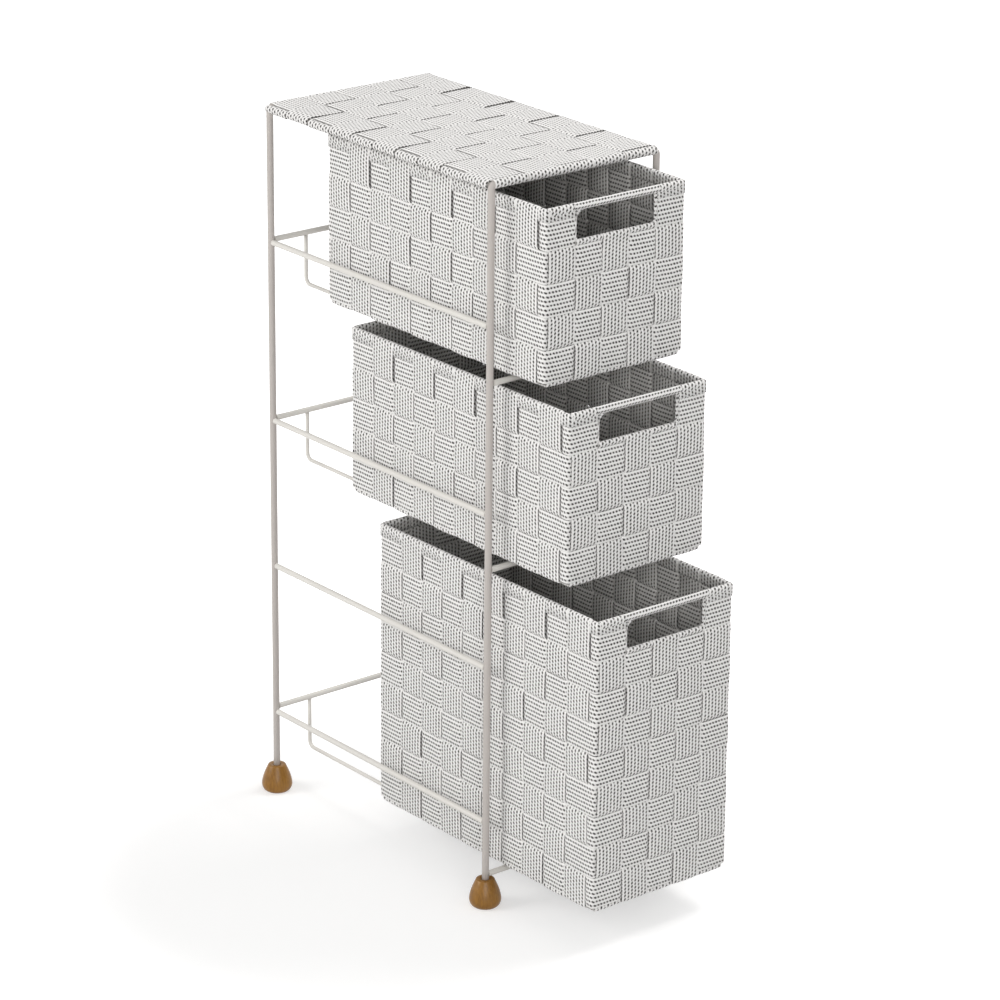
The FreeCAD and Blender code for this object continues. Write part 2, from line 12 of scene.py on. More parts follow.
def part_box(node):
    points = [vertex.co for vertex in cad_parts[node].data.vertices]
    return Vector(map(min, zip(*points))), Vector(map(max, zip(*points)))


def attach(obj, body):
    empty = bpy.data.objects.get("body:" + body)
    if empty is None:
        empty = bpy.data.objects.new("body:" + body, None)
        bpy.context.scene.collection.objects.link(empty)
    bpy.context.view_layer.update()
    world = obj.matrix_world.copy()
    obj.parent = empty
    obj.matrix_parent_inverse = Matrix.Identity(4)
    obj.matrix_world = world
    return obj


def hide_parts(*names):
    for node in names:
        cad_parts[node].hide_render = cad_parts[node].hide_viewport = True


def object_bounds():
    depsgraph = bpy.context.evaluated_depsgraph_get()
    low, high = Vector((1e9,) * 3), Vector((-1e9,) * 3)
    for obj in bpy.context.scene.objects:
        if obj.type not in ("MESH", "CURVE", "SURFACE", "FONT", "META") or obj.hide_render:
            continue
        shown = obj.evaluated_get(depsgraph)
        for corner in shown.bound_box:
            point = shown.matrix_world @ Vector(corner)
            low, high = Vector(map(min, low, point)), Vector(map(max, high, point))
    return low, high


bl_info = {
    "name": "Woven Storage Tower",
    "version": (1, 0, 0),
    "blender": (4, 5, 0),
    "location": "View3D > Sidebar > Tower",
    "description": "Builds a slim wire tower with three woven baskets, its finishes and its studio",
    "category": "Object",
}

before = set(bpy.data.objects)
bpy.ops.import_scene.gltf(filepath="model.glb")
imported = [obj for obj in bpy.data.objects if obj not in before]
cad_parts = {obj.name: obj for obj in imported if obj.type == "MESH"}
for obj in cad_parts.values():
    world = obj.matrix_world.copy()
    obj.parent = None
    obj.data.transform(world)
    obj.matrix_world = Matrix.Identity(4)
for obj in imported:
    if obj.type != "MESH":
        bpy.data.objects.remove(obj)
FRAME_BOX = [list(corner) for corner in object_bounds()]

MM = 0.001
LEVELS = ("upper", "middle", "lower")
RACK = "rack"
SEED, TOP_SEED = 7, 21
X, Y, Z = range(3)


# ---------------------------------------------------------------- sizes and colours

def length(default, name, description):
    return bpy.props.FloatProperty(name=name, description=description, default=default * MM,
                                   unit="LENGTH", precision=5)


def whole(default, name, description):
    return bpy.props.IntProperty(name=name, description=description, default=default, min=1)


def plain(default, name, description, unit="NONE"):
    return bpy.props.FloatProperty(name=name, description=description, default=default, unit=unit)


def angle(degrees, name, description):
    return plain(math.radians(degrees), name, description, "ROTATION")


def colour(default, name, description):
    return bpy.props.FloatVectorProperty(name=name, description=description, default=default,
                                         subtype="COLOR", min=0, max=1)


class StrapSizes(bpy.types.PropertyGroup):
    thickness: length(0.9, "Thickness", "Thickness of the woven strap")
    swing: length(1.3, "Swing", "How far a strap stands out of, or lies behind, the wall's middle")
    crown: length(0.45, "Crown", "How far the middle of a strap bulges where it lies on top")
    turn: length(6.5, "Turn", "Length over which a strap changes side")
    step: length(1.9, "Step", "Length of one mesh step along a strap")
    side_gap: length(0.45, "Upright gap", "Between neighbouring upright straps")
    row_gap: length(0.12, "Loop gap", "Between neighbouring loops")
    uneven: length(0.45, "Unevenness", "How far straps stray from their exact place")
    lift: length(1.0, "Lift", "How much further a strap stands off in its first row under the rim")
    sink: length(0.6, "Sink", "How much further in the loop of the first row lies")


class BasketSizes(bpy.types.PropertyGroup):
    wall: length(4.9, "Wall", "Whole thickness of a wall, at the rim")
    row_pitch: length(27.5, "Row pitch", "From one strap loop to the next")
    rim_band: length(8, "Rim band", "Height of the folded straps round the rim")
    bottom_fold: length(4.5, "Bottom fold", "Below the lowest row, where the straps turn under")
    columns_front: whole(5, "Front columns", "Upright straps across the front")
    columns_side: whole(10, "Side columns", "Upright straps along the side")
    front_margin: length(1.5, "Front margin", "From a front corner to the first front strap")
    side_margin: length(9, "Side margin", "From a front corner to the first side strap")
    back_margin: length(2.4, "Back margin", "From a back corner to the last side strap")
    corner: length(1.7, "Corner", "Radius of the loops' bends at the corners")
    clearance: length(0.35, "Clearance", "Between the basket's underside and its runners")
    under_corner: length(1.3, "Lower corner", "Radius of the uprights' bends under the basket")
    fold: length(2.05, "Rim fold", "Radius of the straps' fold over the rim wire")
    tail: length(8, "Tail", "Strap end folded down inside the rim")
    tape: length(0.7, "Rim tape", "Thickness of the tape under the straps' folds at the rim")
    tape_inset: length(0.45, "Tape inset", "How far the rim tape lies under the straps' folds")
    rim_wire: length(2.4, "Rim wire", "Diameter of the wire inside the rim")
    slot_low: length(31, "Slot bottom", "From the rim down to the bottom of the handle slot")
    sill_fold: length(1.7, "Sill fold", "Radius of the straps' fold at the slot's bottom")
    sill_tail: length(8, "Sill tail", "Strap end folded down inside the slot's bottom")
    grip: length(6.2, "Grip", "Diameter of the taped grip")
    slot_round_left: length(9.5, "Slot round, left", "Radius of the slot's upper left corner")
    slot_round_right: length(4.5, "Slot round, right", "Radius of the slot's upper right corner")
    slot_round_low: length(5, "Slot round, low", "Radius of the slot's lower corners")


class TopSizes(bpy.types.PropertyGroup):
    columns: whole(5, "Long straps", "Straps from front to back")
    rows: whole(10, "Cross straps", "Straps from side to side")
    margin: length(1.2, "Margin", "From a post's middle to the edge of the long straps")
    front_margin: length(3.1, "Front margin", "From the front hoop's middle to the cross straps")
    back_margin: length(0, "Back margin", "From the back hoop's middle to the cross straps")
    gap: length(0.25, "Gap", "Between neighbouring straps of the top")
    swing: length(0.95, "Swing", "How far a strap lies above or below the middle of the weave")
    crown: length(0.35, "Crown", "How far the middle of a strap bulges where it lies on top")
    arch: length(0.5, "Arch", "How much higher a strap arches over the last long strap")
    skew: length(3.2, "Skew", "How far back the ends of the rearmost cross strap bend")
    tail: length(22, "Tail", "Strap end folded back under the top")
    side_wrap: length(3.0, "Side wrap", "Radius of the cross straps' wrap round a side wire")
    side_wire: length(1.3, "Side wire", "How far outside its wire's middle a wrap's middle lies")
    level: length(2.0, "Level", "From the highest point of the top down to the weave's middle")


class WireSizes(bpy.types.PropertyGroup):
    post: length(6, "Hoop wire", "Diameter of the wire of the two hoops")
    runner: length(3.5, "Runner wire", "Diameter of the wire of the runners")
    hoop_bend: length(4.2, "Hoop bend", "Radius of the hoops' upper bends")
    runner_bend: length(6, "Runner bend", "Radius of the bend at the back of a runner")


class FootSizes(bpy.types.PropertyGroup):
    base: length(22.5, "Base", "Diameter of a foot's flat underside")
    belly: length(27.5, "Belly", "Largest diameter of a foot")
    belly_height: length(6.5, "Belly height", "Height of the largest diameter")
    neck: length(17.4, "Neck", "Diameter where the bevel at the top starts")
    neck_height: length(22.6, "Neck height", "Height where the bevel at the top starts")
    top: length(15.4, "Top", "Diameter of the flat top")
    height: length(24.5, "Height", "Height of a foot")


class Finishes(bpy.types.PropertyGroup):
    rib: colour((0.91, 0.905, 0.895), "Rib", "Raised white ribs of the strap")
    ground: colour((0.64, 0.63, 0.625), "Ground", "White ground between the ribs")
    dot: colour((0.032, 0.029, 0.028), "Dot", "Dark yarn that shows as dots")
    reverse: colour((0.74, 0.73, 0.71), "Reverse", "Grey ribs on the reverse of the strap")
    reverse_ground: colour((0.42, 0.41, 0.40), "Reverse ground", "Between the reverse's ribs")
    reverse_dot: colour((0.09, 0.088, 0.086), "Reverse dot", "Dark yarn on the reverse")
    paint: colour((0.76, 0.74, 0.70), "Paint", "Ivory paint of the rails and runners")
    # The rails' ivory paint, darkened as painted shade for the upright hoop wires
    shaded_post_paint: colour((0.52, 0.485, 0.46), "Shaded post paint", "Ivory paint of the two hoops, darkened as painted shade")
    wood: colour((0.30, 0.14, 0.02), "Wood", "Varnished wood of the feet")
    wood_dark: colour((0.14, 0.058, 0.006), "Wood grain", "Darker grain of the feet")
    steel: colour((0.55, 0.54, 0.52), "Steel", "Plain wire inside the rims")
    floor: colour((0.62, 0.62, 0.62), "Floor", "Pale studio floor")


class StudioSettings(bpy.types.PropertyGroup):
    place: bpy.props.FloatVectorProperty(name="Camera place", subtype="XYZ", unit="LENGTH",
                                         default=(-1.92788, -2.37733, 1.50293),
                                         description="Where the camera stands")
    turn: angle(-39.213, "Turn", "Camera's turn round the tower")
    tilt: angle(20.365, "Tilt", "Camera's height angle")
    roll: angle(0.568, "Roll", "Camera's roll")
    lens: plain(143.68, "Lens", "Focal length on a 36 mm sensor", "CAMERA")
    fill: plain(0.42, "Fill", "Strength of the white surroundings")
    key: plain(27, "Key", "Power of the upper lamp", "POWER")
    side: plain(32, "Side", "Power of the left lamp", "POWER")
    front: plain(33, "Front", "Power of the lamp in front", "POWER")
    lamp_colour: colour((1.0, 0.985, 0.965), "Lamp colour", "Colour of the lamps' light")
    lift: plain(0.47, "Floor lift", "White added to the floor where the camera sees it")


class TowerSettings(bpy.types.PropertyGroup):
    strap: bpy.props.PointerProperty(type=StrapSizes)
    basket: bpy.props.PointerProperty(type=BasketSizes)
    top: bpy.props.PointerProperty(type=TopSizes)
    wire: bpy.props.PointerProperty(type=WireSizes)
    foot: bpy.props.PointerProperty(type=FootSizes)
    finish: bpy.props.PointerProperty(type=Finishes)
    studio: bpy.props.PointerProperty(type=StudioSettings)


# ---------------------------------------------------------------- shader maths

class Shade:
    """An output socket of a node tree; arithmetic on it adds Math nodes."""

    def __init__(self, tree, socket):
        self.tree, self.socket = tree, socket

    def math(self, operation, *others):
        return self.tree.math(operation, self, *others)

    def other(self, name):
        """Another output of the same node."""
        return Shade(self.tree, self.socket.node.outputs[name])

    def __add__(self, other):
        return self.math("ADD", other)

    def __sub__(self, other):
        return self.math("SUBTRACT", other)

    def __rsub__(self, other):
        return self.tree.math("SUBTRACT", other, self)

    def __mul__(self, other):
        return self.math("MULTIPLY", other)

    def __truediv__(self, other):
        return self.math("DIVIDE", other)

    def __rtruediv__(self, other):
        return self.tree.math("DIVIDE", other, self)

    def __gt__(self, other):
        return self.math("GREATER_THAN", other)

    __radd__, __rmul__ = __add__, __mul__


class Tree:
    """The node tree of a material or world, grown one node at a time towards its shader."""

    # A Mix node's sockets for colours, which share their names with those for numbers
    MIX_FIRST, MIX_SECOND, MIX_RESULT = 6, 7, 2

    def __init__(self, owner, shader="Principled BSDF"):
        owner.use_nodes = True
        self.owner = owner
        self.nodes = owner.node_tree.nodes
        self.shader = self.nodes[shader]

    def feed(self, node, socket, source):
        """Give a socket a value or a link."""
        if isinstance(source, Shade):
            self.owner.node_tree.links.new(source.socket, node.inputs[socket])
        else:
            node.inputs[socket].default_value = source

    def add(self, kind, settings=None, sockets=None, output=0):
        """Add a node: its settings first, then the values or links of its sockets."""
        node = self.nodes.new(kind)
        for name, setting in (settings or {}).items():
            if name == "stops":
                set_stops(node.color_ramp, setting)
            else:
                setattr(node, name, setting)
        for socket, source in (sockets or {}).items():
            self.feed(node, socket, source)
        return Shade(self, node.outputs[output])

    def dress(self, **sockets):
        """Feed the shader's own sockets, named with _ for a space, and give back the owner."""
        for name, source in sockets.items():
            self.feed(self.shader, name.replace("_", " "), source)
        return self.owner

    def math(self, operation, *sources):
        return self.add("ShaderNodeMath", {"operation": operation}, dict(enumerate(sources)))

    def mix(self, share, first, second):
        """A colour between two colours."""
        return self.add("ShaderNodeMix", {"data_type": "RGBA"},
                        {"Factor": share, self.MIX_FIRST: opaque(first),
                         self.MIX_SECOND: opaque(second)}, self.MIX_RESULT)

    def smooth(self, source, low, high):
        """0 below low, 1 above high and a smooth step between."""
        return self.add("ShaderNodeMapRange", {"interpolation_type": "SMOOTHSTEP"},
                        {"Value": source, "From Min": low, "From Max": high})

    def noise(self, where, scale, detail):
        return self.add("ShaderNodeTexNoise", {},
                        {"Vector": where, "Scale": scale, "Detail": detail})

    def place(self):
        """Coordinates on the piece itself."""
        return self.add("ShaderNodeTexCoord", output="Object")

    def split(self, vector):
        """The three parts of a vector."""
        first = self.add("ShaderNodeSeparateXYZ", {}, {"Vector": vector}, "X")
        return first, first.other("Y"), first.other("Z")

    def bump(self, height, strength, distance):
        return self.add("ShaderNodeBump", {},
                        {"Height": height, "Strength": strength, "Distance": distance})

    def seen_directly(self):
        """1 for rays from the camera, mirrors and glass, 0 for light that falls on things."""
        camera = self.add("ShaderNodeLightPath", output="Is Camera Ray")
        mirrors = camera.math("MAXIMUM", camera.other("Is Glossy Ray"))
        return mirrors.math("MAXIMUM", camera.other("Is Transmission Ray"))


def opaque(source):
    """A colour with its alpha, or a link as it is."""
    return source if isinstance(source, Shade) else (*source, 1)


def darker(base, share):
    return [channel * share for channel in base]


def set_stops(ramp, stops):
    while len(ramp.elements) < len(stops):
        ramp.elements.new(1)
    for element, (position, shade) in zip(ramp.elements, stops):
        element.position = position
        element.color = opaque(shade)


# ---------------------------------------------------------------- finishes

# The strap's cloth: pitch of its rows of dots, of the dots in a row and of its fine threads
ROW_PITCH = 3.65 * MM
DOT_PITCH = 3.27 * MM
THREAD_PITCH = 0.82 * MM
# A dot's half width in row pitches, its half length in dot pitches, its slant and its soft edge
DOT_HALF_WIDTH = 0.265
DOT_HALF_LENGTH = 0.295
DOT_SLANT = 0.45
DOT_EDGE = (0.70, 1.25)
WOVEN = "Woven strap"


def woven_material(finish):
    """Strap cloth: white ribs with staggered dark dots in front, and the same in grey behind.

    The attribute "strap" holds the place across and along the strap and 1 in front, 0 behind.
    """
    cloth = Tree(bpy.data.materials.new(WOVEN))
    across, along, front = cloth.split(
        cloth.add("ShaderNodeAttribute", {"attribute_name": "strap"}, {}, "Vector"))
    place = cloth.place()
    wander, patch, fuzz = (cloth.noise(place, scale, detail) - 0.5
                           for scale, detail in ((90, 1), (330, 1), (1400, 2)))
    # Noise moves the rows and the dots in them, and frays the dots' edges
    row = across / ROW_PITCH + wander * 0.14 + fuzz * 0.12
    line = row.math("ROUND")
    off_row = row - line
    dash = along / DOT_PITCH + line * 0.5 + wander * 0.2 + fuzz * 0.3
    off_dash = dash - dash.math("ROUND")
    wide = (off_row / DOT_HALF_WIDTH).math("POWER", 2)
    long = ((off_dash + off_row * DOT_SLANT) / DOT_HALF_LENGTH).math("POWER", 2)
    dot = 1 - cloth.smooth((wide + long).math("SQRT") + fuzz * 0.8 + patch * 0.7, *DOT_EDGE)
    rib = (0.5 - (off_row * (2 * math.pi)).math("COSINE") * 0.5).math("POWER", 0.7)
    thread = (along * (2 * math.pi / THREAD_PITCH)).math("SINE")
    # Ribs hide part of the sunken dots where the cloth lies flat
    upward = cloth.split(place.other("Normal"))[Z]
    flat = cloth.smooth(upward, 0.75, 0.97)

    ink = dot * (1.09 + fuzz * 0.3 + patch * 0.4) * (1 - flat * 0.3)
    white = cloth.mix(rib * (0.925 + fuzz * 0.85), finish.ground, finish.rib)
    grey = cloth.mix(rib * (0.9 + fuzz * 0.6), finish.reverse_ground, finish.reverse)
    face = cloth.mix(ink, white, finish.dot)
    back = cloth.mix(dot, grey, finish.reverse_dot)
    height = rib * 0.45 + thread * 0.06 - ink * 0.35 + fuzz * 0.2
    return cloth.dress(Base_Color=cloth.mix(front > 0.5, back, face),
                       Roughness=0.82 + fuzz * 0.2,
                       Normal=cloth.bump(height, strength=0.45, distance=0.3 * MM),
                       Specular_IOR_Level=0.3, Sheen_Weight=0.15, Sheen_Roughness=0.5)


def woven(finish):
    """The strap's cloth, made on its first use."""
    return bpy.data.materials.get(WOVEN) or woven_material(finish)


def paint_material(name, base):
    """Powder paint with a faint orange-peel surface."""
    paint = Tree(bpy.data.materials.new(name))
    place = paint.place()
    cloud = paint.noise(place, scale=14, detail=3)
    peel = paint.noise(place, scale=900, detail=1)
    return paint.dress(Base_Color=paint.mix(cloud, base, darker(base, 0.93)),
                       Roughness=0.34 + cloud * 0.16,
                       Normal=paint.bump(peel, strength=0.12, distance=0.25 * MM),
                       Specular_IOR_Level=0.45, Coat_Roughness=0.25)


def wood_material(finish):
    """Turned wood under a clear varnish, the grain running up the foot."""
    wood = Tree(bpy.data.materials.new("Varnished wood"))
    place = wood.place()
    stretched = wood.add("ShaderNodeMapping", {}, {"Vector": place, "Scale": (1, 1, 0.16)})
    blotch = wood.noise(place, scale=55, detail=2)
    fibre = wood.noise(stretched, scale=900, detail=3)
    rings = wood.add("ShaderNodeTexWave", {"wave_type": "BANDS", "bands_direction": "X"},
                     {"Vector": stretched, "Scale": 130, "Distortion": 5, "Detail": 3})
    light = [min(1, channel * 1.35) for channel in finish.wood]
    stops = [(0.2, finish.wood_dark), (0.62, finish.wood), (0.95, light)]
    grain = rings * 0.08 + fibre * 0.42 + blotch * 0.6
    return wood.dress(Base_Color=wood.add("ShaderNodeValToRGB", {"stops": stops}, {0: grain}),
                      Roughness=0.32 + fibre * 0.18,
                      Coat_Weight=0.1 + blotch * 0.15,
                      Normal=wood.bump(fibre + rings * 0.4, strength=0.15, distance=0.3 * MM),
                      Specular_IOR_Level=0.3, Coat_Roughness=0.12)


def steel_material(finish):
    steel = Tree(bpy.data.materials.new("Plain steel"))
    cloud = steel.noise(steel.place(), scale=120, detail=3)
    return steel.dress(Base_Color=steel.mix(cloud, finish.steel, darker(finish.steel, 0.6)),
                       Metallic=0.7 + cloud * 0.2,
                       Roughness=0.35 + cloud * 0.25)


# Middle and reach of the painted grey shade round the tower, where the floor glows less
FLOOR_MIDDLE = (-0.03, 0.1, 0)
FLOOR_FADE = (0.2, 0.45)


def floor_material(finish, studio):
    """Pale floor that glows white only where it is seen: little near the tower, leaving a painted
    grey shade round it beside the real shadow, more far off.
    """
    pale = Tree(bpy.data.materials.new("Pale floor"))
    away = pale.add("ShaderNodeVectorMath", {"operation": "DISTANCE"},
                    {0: pale.place(), 1: FLOOR_MIDDLE}, "Value")
    lift = pale.smooth(away, *FLOOR_FADE) * (1 - studio.lift) + studio.lift
    white = pale.mix(pale.seen_directly() * lift, (0, 0, 0), (1, 1, 1))
    return pale.dress(Base_Color=opaque(finish.floor), Roughness=0.9, Specular_IOR_Level=0.1,
                      Emission_Color=white, Emission_Strength=1)


# ---------------------------------------------------------------- meshes

def new_piece(name, body, finish, slot, node, vertices, faces, strap=None):
    """A smooth-shaded piece that rides on a body and replaces one of the frame's nodes.

    strap holds each vertex's place across and along its strap, and 1 in front, 0 behind.
    """
    mesh = bpy.data.meshes.new(name)
    mesh.from_pydata(numpy.asarray(vertices).tolist(), [], faces)
    mesh.polygons.foreach_set("use_smooth", [True] * len(mesh.polygons))
    if strap is not None:
        attribute = mesh.attributes.new("strap", "FLOAT_VECTOR", "POINT")
        attribute.data.foreach_set("vector", numpy.asarray(strap, numpy.float32).ravel())
    mesh.materials.append(finish)
    mesh.update()
    piece = bpy.data.objects.new(name, mesh)
    bpy.context.scene.collection.objects.link(piece)
    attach(piece, body)
    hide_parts(node)


def sides(rings, around, first=0, closed=False):
    """Faces between rings of points, numbered from first."""
    faces = []
    for ring in range(rings if closed else rings - 1):
        low = first + ring * around
        high = first + (ring + 1) % rings * around
        for index in range(around):
            following = (index + 1) % around
            faces.append((low + index, low + following, high + following, high + index))
    return faces


def skin(rings, around, first=0, closed=False):
    """Faces between rings of points, with a cap at each end unless they close."""
    faces = sides(rings, around, first, closed)
    if not closed:
        last = first + (rings - 1) * around
        faces.append(tuple(range(first, first + around))[::-1])
        faces.append(tuple(range(last, last + around)))
    return faces


def turned(faces):
    """The same faces, seen from their other side."""
    return [face[:1] + face[:0:-1] for face in faces]


def spots(*parts):
    """Points of a net, from one array of numbers for each axis; the arrays are broadcast."""
    return numpy.stack(numpy.broadcast_arrays(*parts), axis=-1).reshape(-1, len(parts))


def in_space(flat, axis, offset):
    """Flat points put into space, at an offset along the axis across their plane."""
    points = numpy.empty((*flat.shape[:-1], 3))
    points[..., axis] = offset
    points[..., [other for other in (X, Y, Z) if other != axis]] = flat
    return points


def unit(vectors):
    return vectors / numpy.linalg.norm(vectors, axis=-1, keepdims=True)


def distances(points):
    """How far along a line each of its points lies."""
    pieces = numpy.linalg.norm(numpy.diff(points, axis=0), axis=1)
    return numpy.concatenate([[0], pieces.cumsum()])


def round_angles(around):
    return 2 * math.pi * numpy.arange(around) / around


ARC_STEPS = 6


def rounded_route(corners, radius, step):
    """Points along straight runs joined by arcs, in one plane, and their headings.

    The third result is the distance along the sharp-cornered line at each point.
    """
    corners = numpy.array(corners, float)
    points, headings, stations = [], [], []
    start, station = corners[0], 0.0
    for index, corner in enumerate(corners[1:], start=1):
        before = corners[index - 1]
        run_length = numpy.linalg.norm(corner - before)
        heading = (corner - before) / run_length
        turns = index < len(corners) - 1
        stop = corner - heading * radius if turns else corner
        span = numpy.linalg.norm(stop - start)
        begin = numpy.linalg.norm(start - before)
        steps = max(1, math.ceil(span / step))
        for number in range(0 if index == 1 else 1, steps + 1):
            points.append(start + heading * span * number / steps)
            headings.append(heading)
            stations.append(station + begin + span * number / steps)
        if turns:
            following = unit(corners[index + 1] - corner)
            centre = stop + following * radius
            for number in range(1, ARC_STEPS + 1):
                bend = math.pi / 2 * number / ARC_STEPS
                ahead, aside = math.sin(bend), math.cos(bend)
                points.append(centre - following * radius * aside + heading * radius * ahead)
                headings.append(heading * aside + following * ahead)
                stations.append(station + run_length - radius
                                + 2 * radius * number / ARC_STEPS)
            start = corner + following * radius
        station += run_length
    return numpy.array(points), numpy.array(headings), numpy.array(stations)


def outward(headings):
    """Normals on the right of a flat route, which is outside a way round to the left."""
    return numpy.stack([headings[:, 1], -headings[:, 0]], axis=1)


def tube(flat, axis, offset, radius, around, closed=False):
    """Vertices and faces of a round wire along flat points, laid across an axis."""
    path = in_space(flat, axis, offset)
    ahead = numpy.roll(path, -1, 0) - path
    behind = path - numpy.roll(path, 1, 0)
    if not closed:
        ahead[-1], behind[0] = behind[-1], ahead[0]
    heading = unit(unit(ahead) + unit(behind))
    first = unit(numpy.cross(numpy.eye(3)[axis], heading))[:, None]
    second = numpy.cross(heading, first[:, 0])[:, None]
    angles = round_angles(around)[:, None]
    rings = path[:, None] + radius * (first * numpy.cos(angles) + second * numpy.sin(angles))
    return rings.reshape(-1, 3), skin(len(path), around, closed=closed)


# ---------------------------------------------------------------- straps

FOLD_STEPS = 9
# A strap's slow sideways wander: radians per metre and share of each wave
DRIFTS = ((41, 0.6), (97, 0.5))


def wave(stations, bounds, values, turn):
    """A line of levels with a smooth step at each bound."""
    level = numpy.full(len(stations), float(values[0]))
    for bound, before, after in zip(bounds, values, values[1:]):
        share = numpy.clip((stations - bound) / turn + 0.5, 0, 1)
        level += (after - before) * share ** 2 * (3 - 2 * share)
    return level


def folded_end(point, heading, normal, out, step, fold):
    """A strap's end turned over and run back behind, tail first: points, normals, front shown."""
    if fold is None:
        return numpy.empty((0, 2)), numpy.empty((0, 2)), numpy.empty(0)
    radius, tail = fold
    centre = point + normal * (out - radius)
    back = centre - normal * radius
    steps = max(1, math.ceil(tail / step))
    points = [back + heading * tail * (1 - number / steps) for number in range(steps)]
    normals = [-normal] * steps
    for number in range(FOLD_STEPS):
        bend = math.pi * (1 - number / FOLD_STEPS)
        spoke = normal * math.cos(bend) - heading * math.sin(bend)
        points.append(centre + spoke * radius)
        normals.append(spoke)
    return numpy.array(points), numpy.array(normals), numpy.array([0] * steps + [1] * FOLD_STEPS)


class Laid:
    """A strap that waves along a flat route, each end folded over by a radius and a tail or not.

    Every point has a centre, a normal, its length along the strap, its bulge (crown), and 1 in
    shown where the strap's white side is in front.
    """

    def __init__(self, strap, route, bounds, levels, bulges, folds):
        self.strap = strap
        points, headings, self.stations = route
        normals = outward(headings)
        out = wave(self.stations, bounds, levels, strap.turn)
        start, end = (folded_end(points[at], headings[at] * way, normals[at], out[at],
                                 strap.step, fold)
                      for at, way, fold in zip((0, -1), (1, -1), folds))
        route_parts = (points + normals * out[:, None], normals, numpy.ones(len(points)))
        self.centre, self.normals, self.shown = (
            numpy.concatenate([before, main, after[::-1]])
            for before, main, after in zip(start, route_parts, end))
        self.folded = len(start[0]), len(end[0])
        self.lengths = distances(self.centre)
        self.crown = self.widen(wave(self.stations, bounds, bulges, strap.turn))

    def widen(self, levels):
        """Levels along the main route, with nothing over the folded ends."""
        return numpy.pad(levels, self.folded)

    def drift(self, random):
        """Slow sideways wander of the strap."""
        starts = random.uniform(0, 2 * math.pi, len(DRIFTS))
        return self.strap.uneven * sum(numpy.sin(self.lengths * pace + start) * share
                                       for (pace, share), start in zip(DRIFTS, starts))


def bulges(values, crown):
    """How far a strap bulges in each cell: where it lies on top, but not at its wrapped ends."""
    return [0, *(crown if value > 0 else 0 for value in values[1:-1]), 0]


class Ribbons:
    """Straps gathered into one mesh, each closed, with its place across and along."""

    # Round a strap's section, in half widths and thicknesses, and which points are in front:
    # nearly flat in front, rounded at the edges, three points behind
    ACROSS = numpy.array([-1, -0.94, -0.5, 0, 0.5, 0.94, 1, 1, 0.97, 0, -0.97, -1])
    LEVEL = numpy.array([0.3, 0.5, 0.5, 0.5, 0.5, 0.5, 0.3, 0, -0.5, -0.5, -0.5, 0])
    FRONT = numpy.array([1, 1, 1, 1, 1, 1, 1, 1, 0, 0, 0, 1])
    # The outermost front points stand a little inside the edge, by a share of the thickness
    OUTERMOST, INSIDE = [0, 6], 0.25

    def __init__(self, thickness):
        self.thickness = thickness
        self.points, self.faces, self.coordinates = [], [], []
        self.count = 0

    def add(self, laid, axis, offset, width, drift, phase, closed=False):
        """One strap, laid flat at an offset along an axis.

        drift moves it along the axis at each point, and phase is where its dots start.
        """
        steps, around = len(laid.centre) - closed, len(self.ACROSS)
        across = self.ACROSS * width / 2
        across[self.OUTERMOST] *= 1 - self.thickness * self.INSIDE / (width / 2)
        bulge = laid.crown[:steps, None] * (1 - self.ACROSS ** 2)
        rise = self.LEVEL * self.thickness + bulge
        flat = laid.centre[:steps, None] + laid.normals[:steps, None] * rise[..., None]
        points = in_space(flat, axis, offset + across + drift[:steps, None])
        faces = skin(steps, around, self.count, closed)
        # Seen along the y axis, the route runs the other way round
        self.faces += faces if axis == Y else [face[::-1] for face in faces]
        self.points.append(points.reshape(-1, 3))
        self.coordinates.append(spots(across, laid.lengths[:steps, None] + phase,
                                      self.FRONT * laid.shown[:steps, None]))
        self.count += steps * around

    def piece(self, name, body, finish, node):
        new_piece(name, body, finish, "woven_strap", node, numpy.concatenate(self.points),
                  self.faces, numpy.concatenate(self.coordinates))


# ---------------------------------------------------------------- baskets

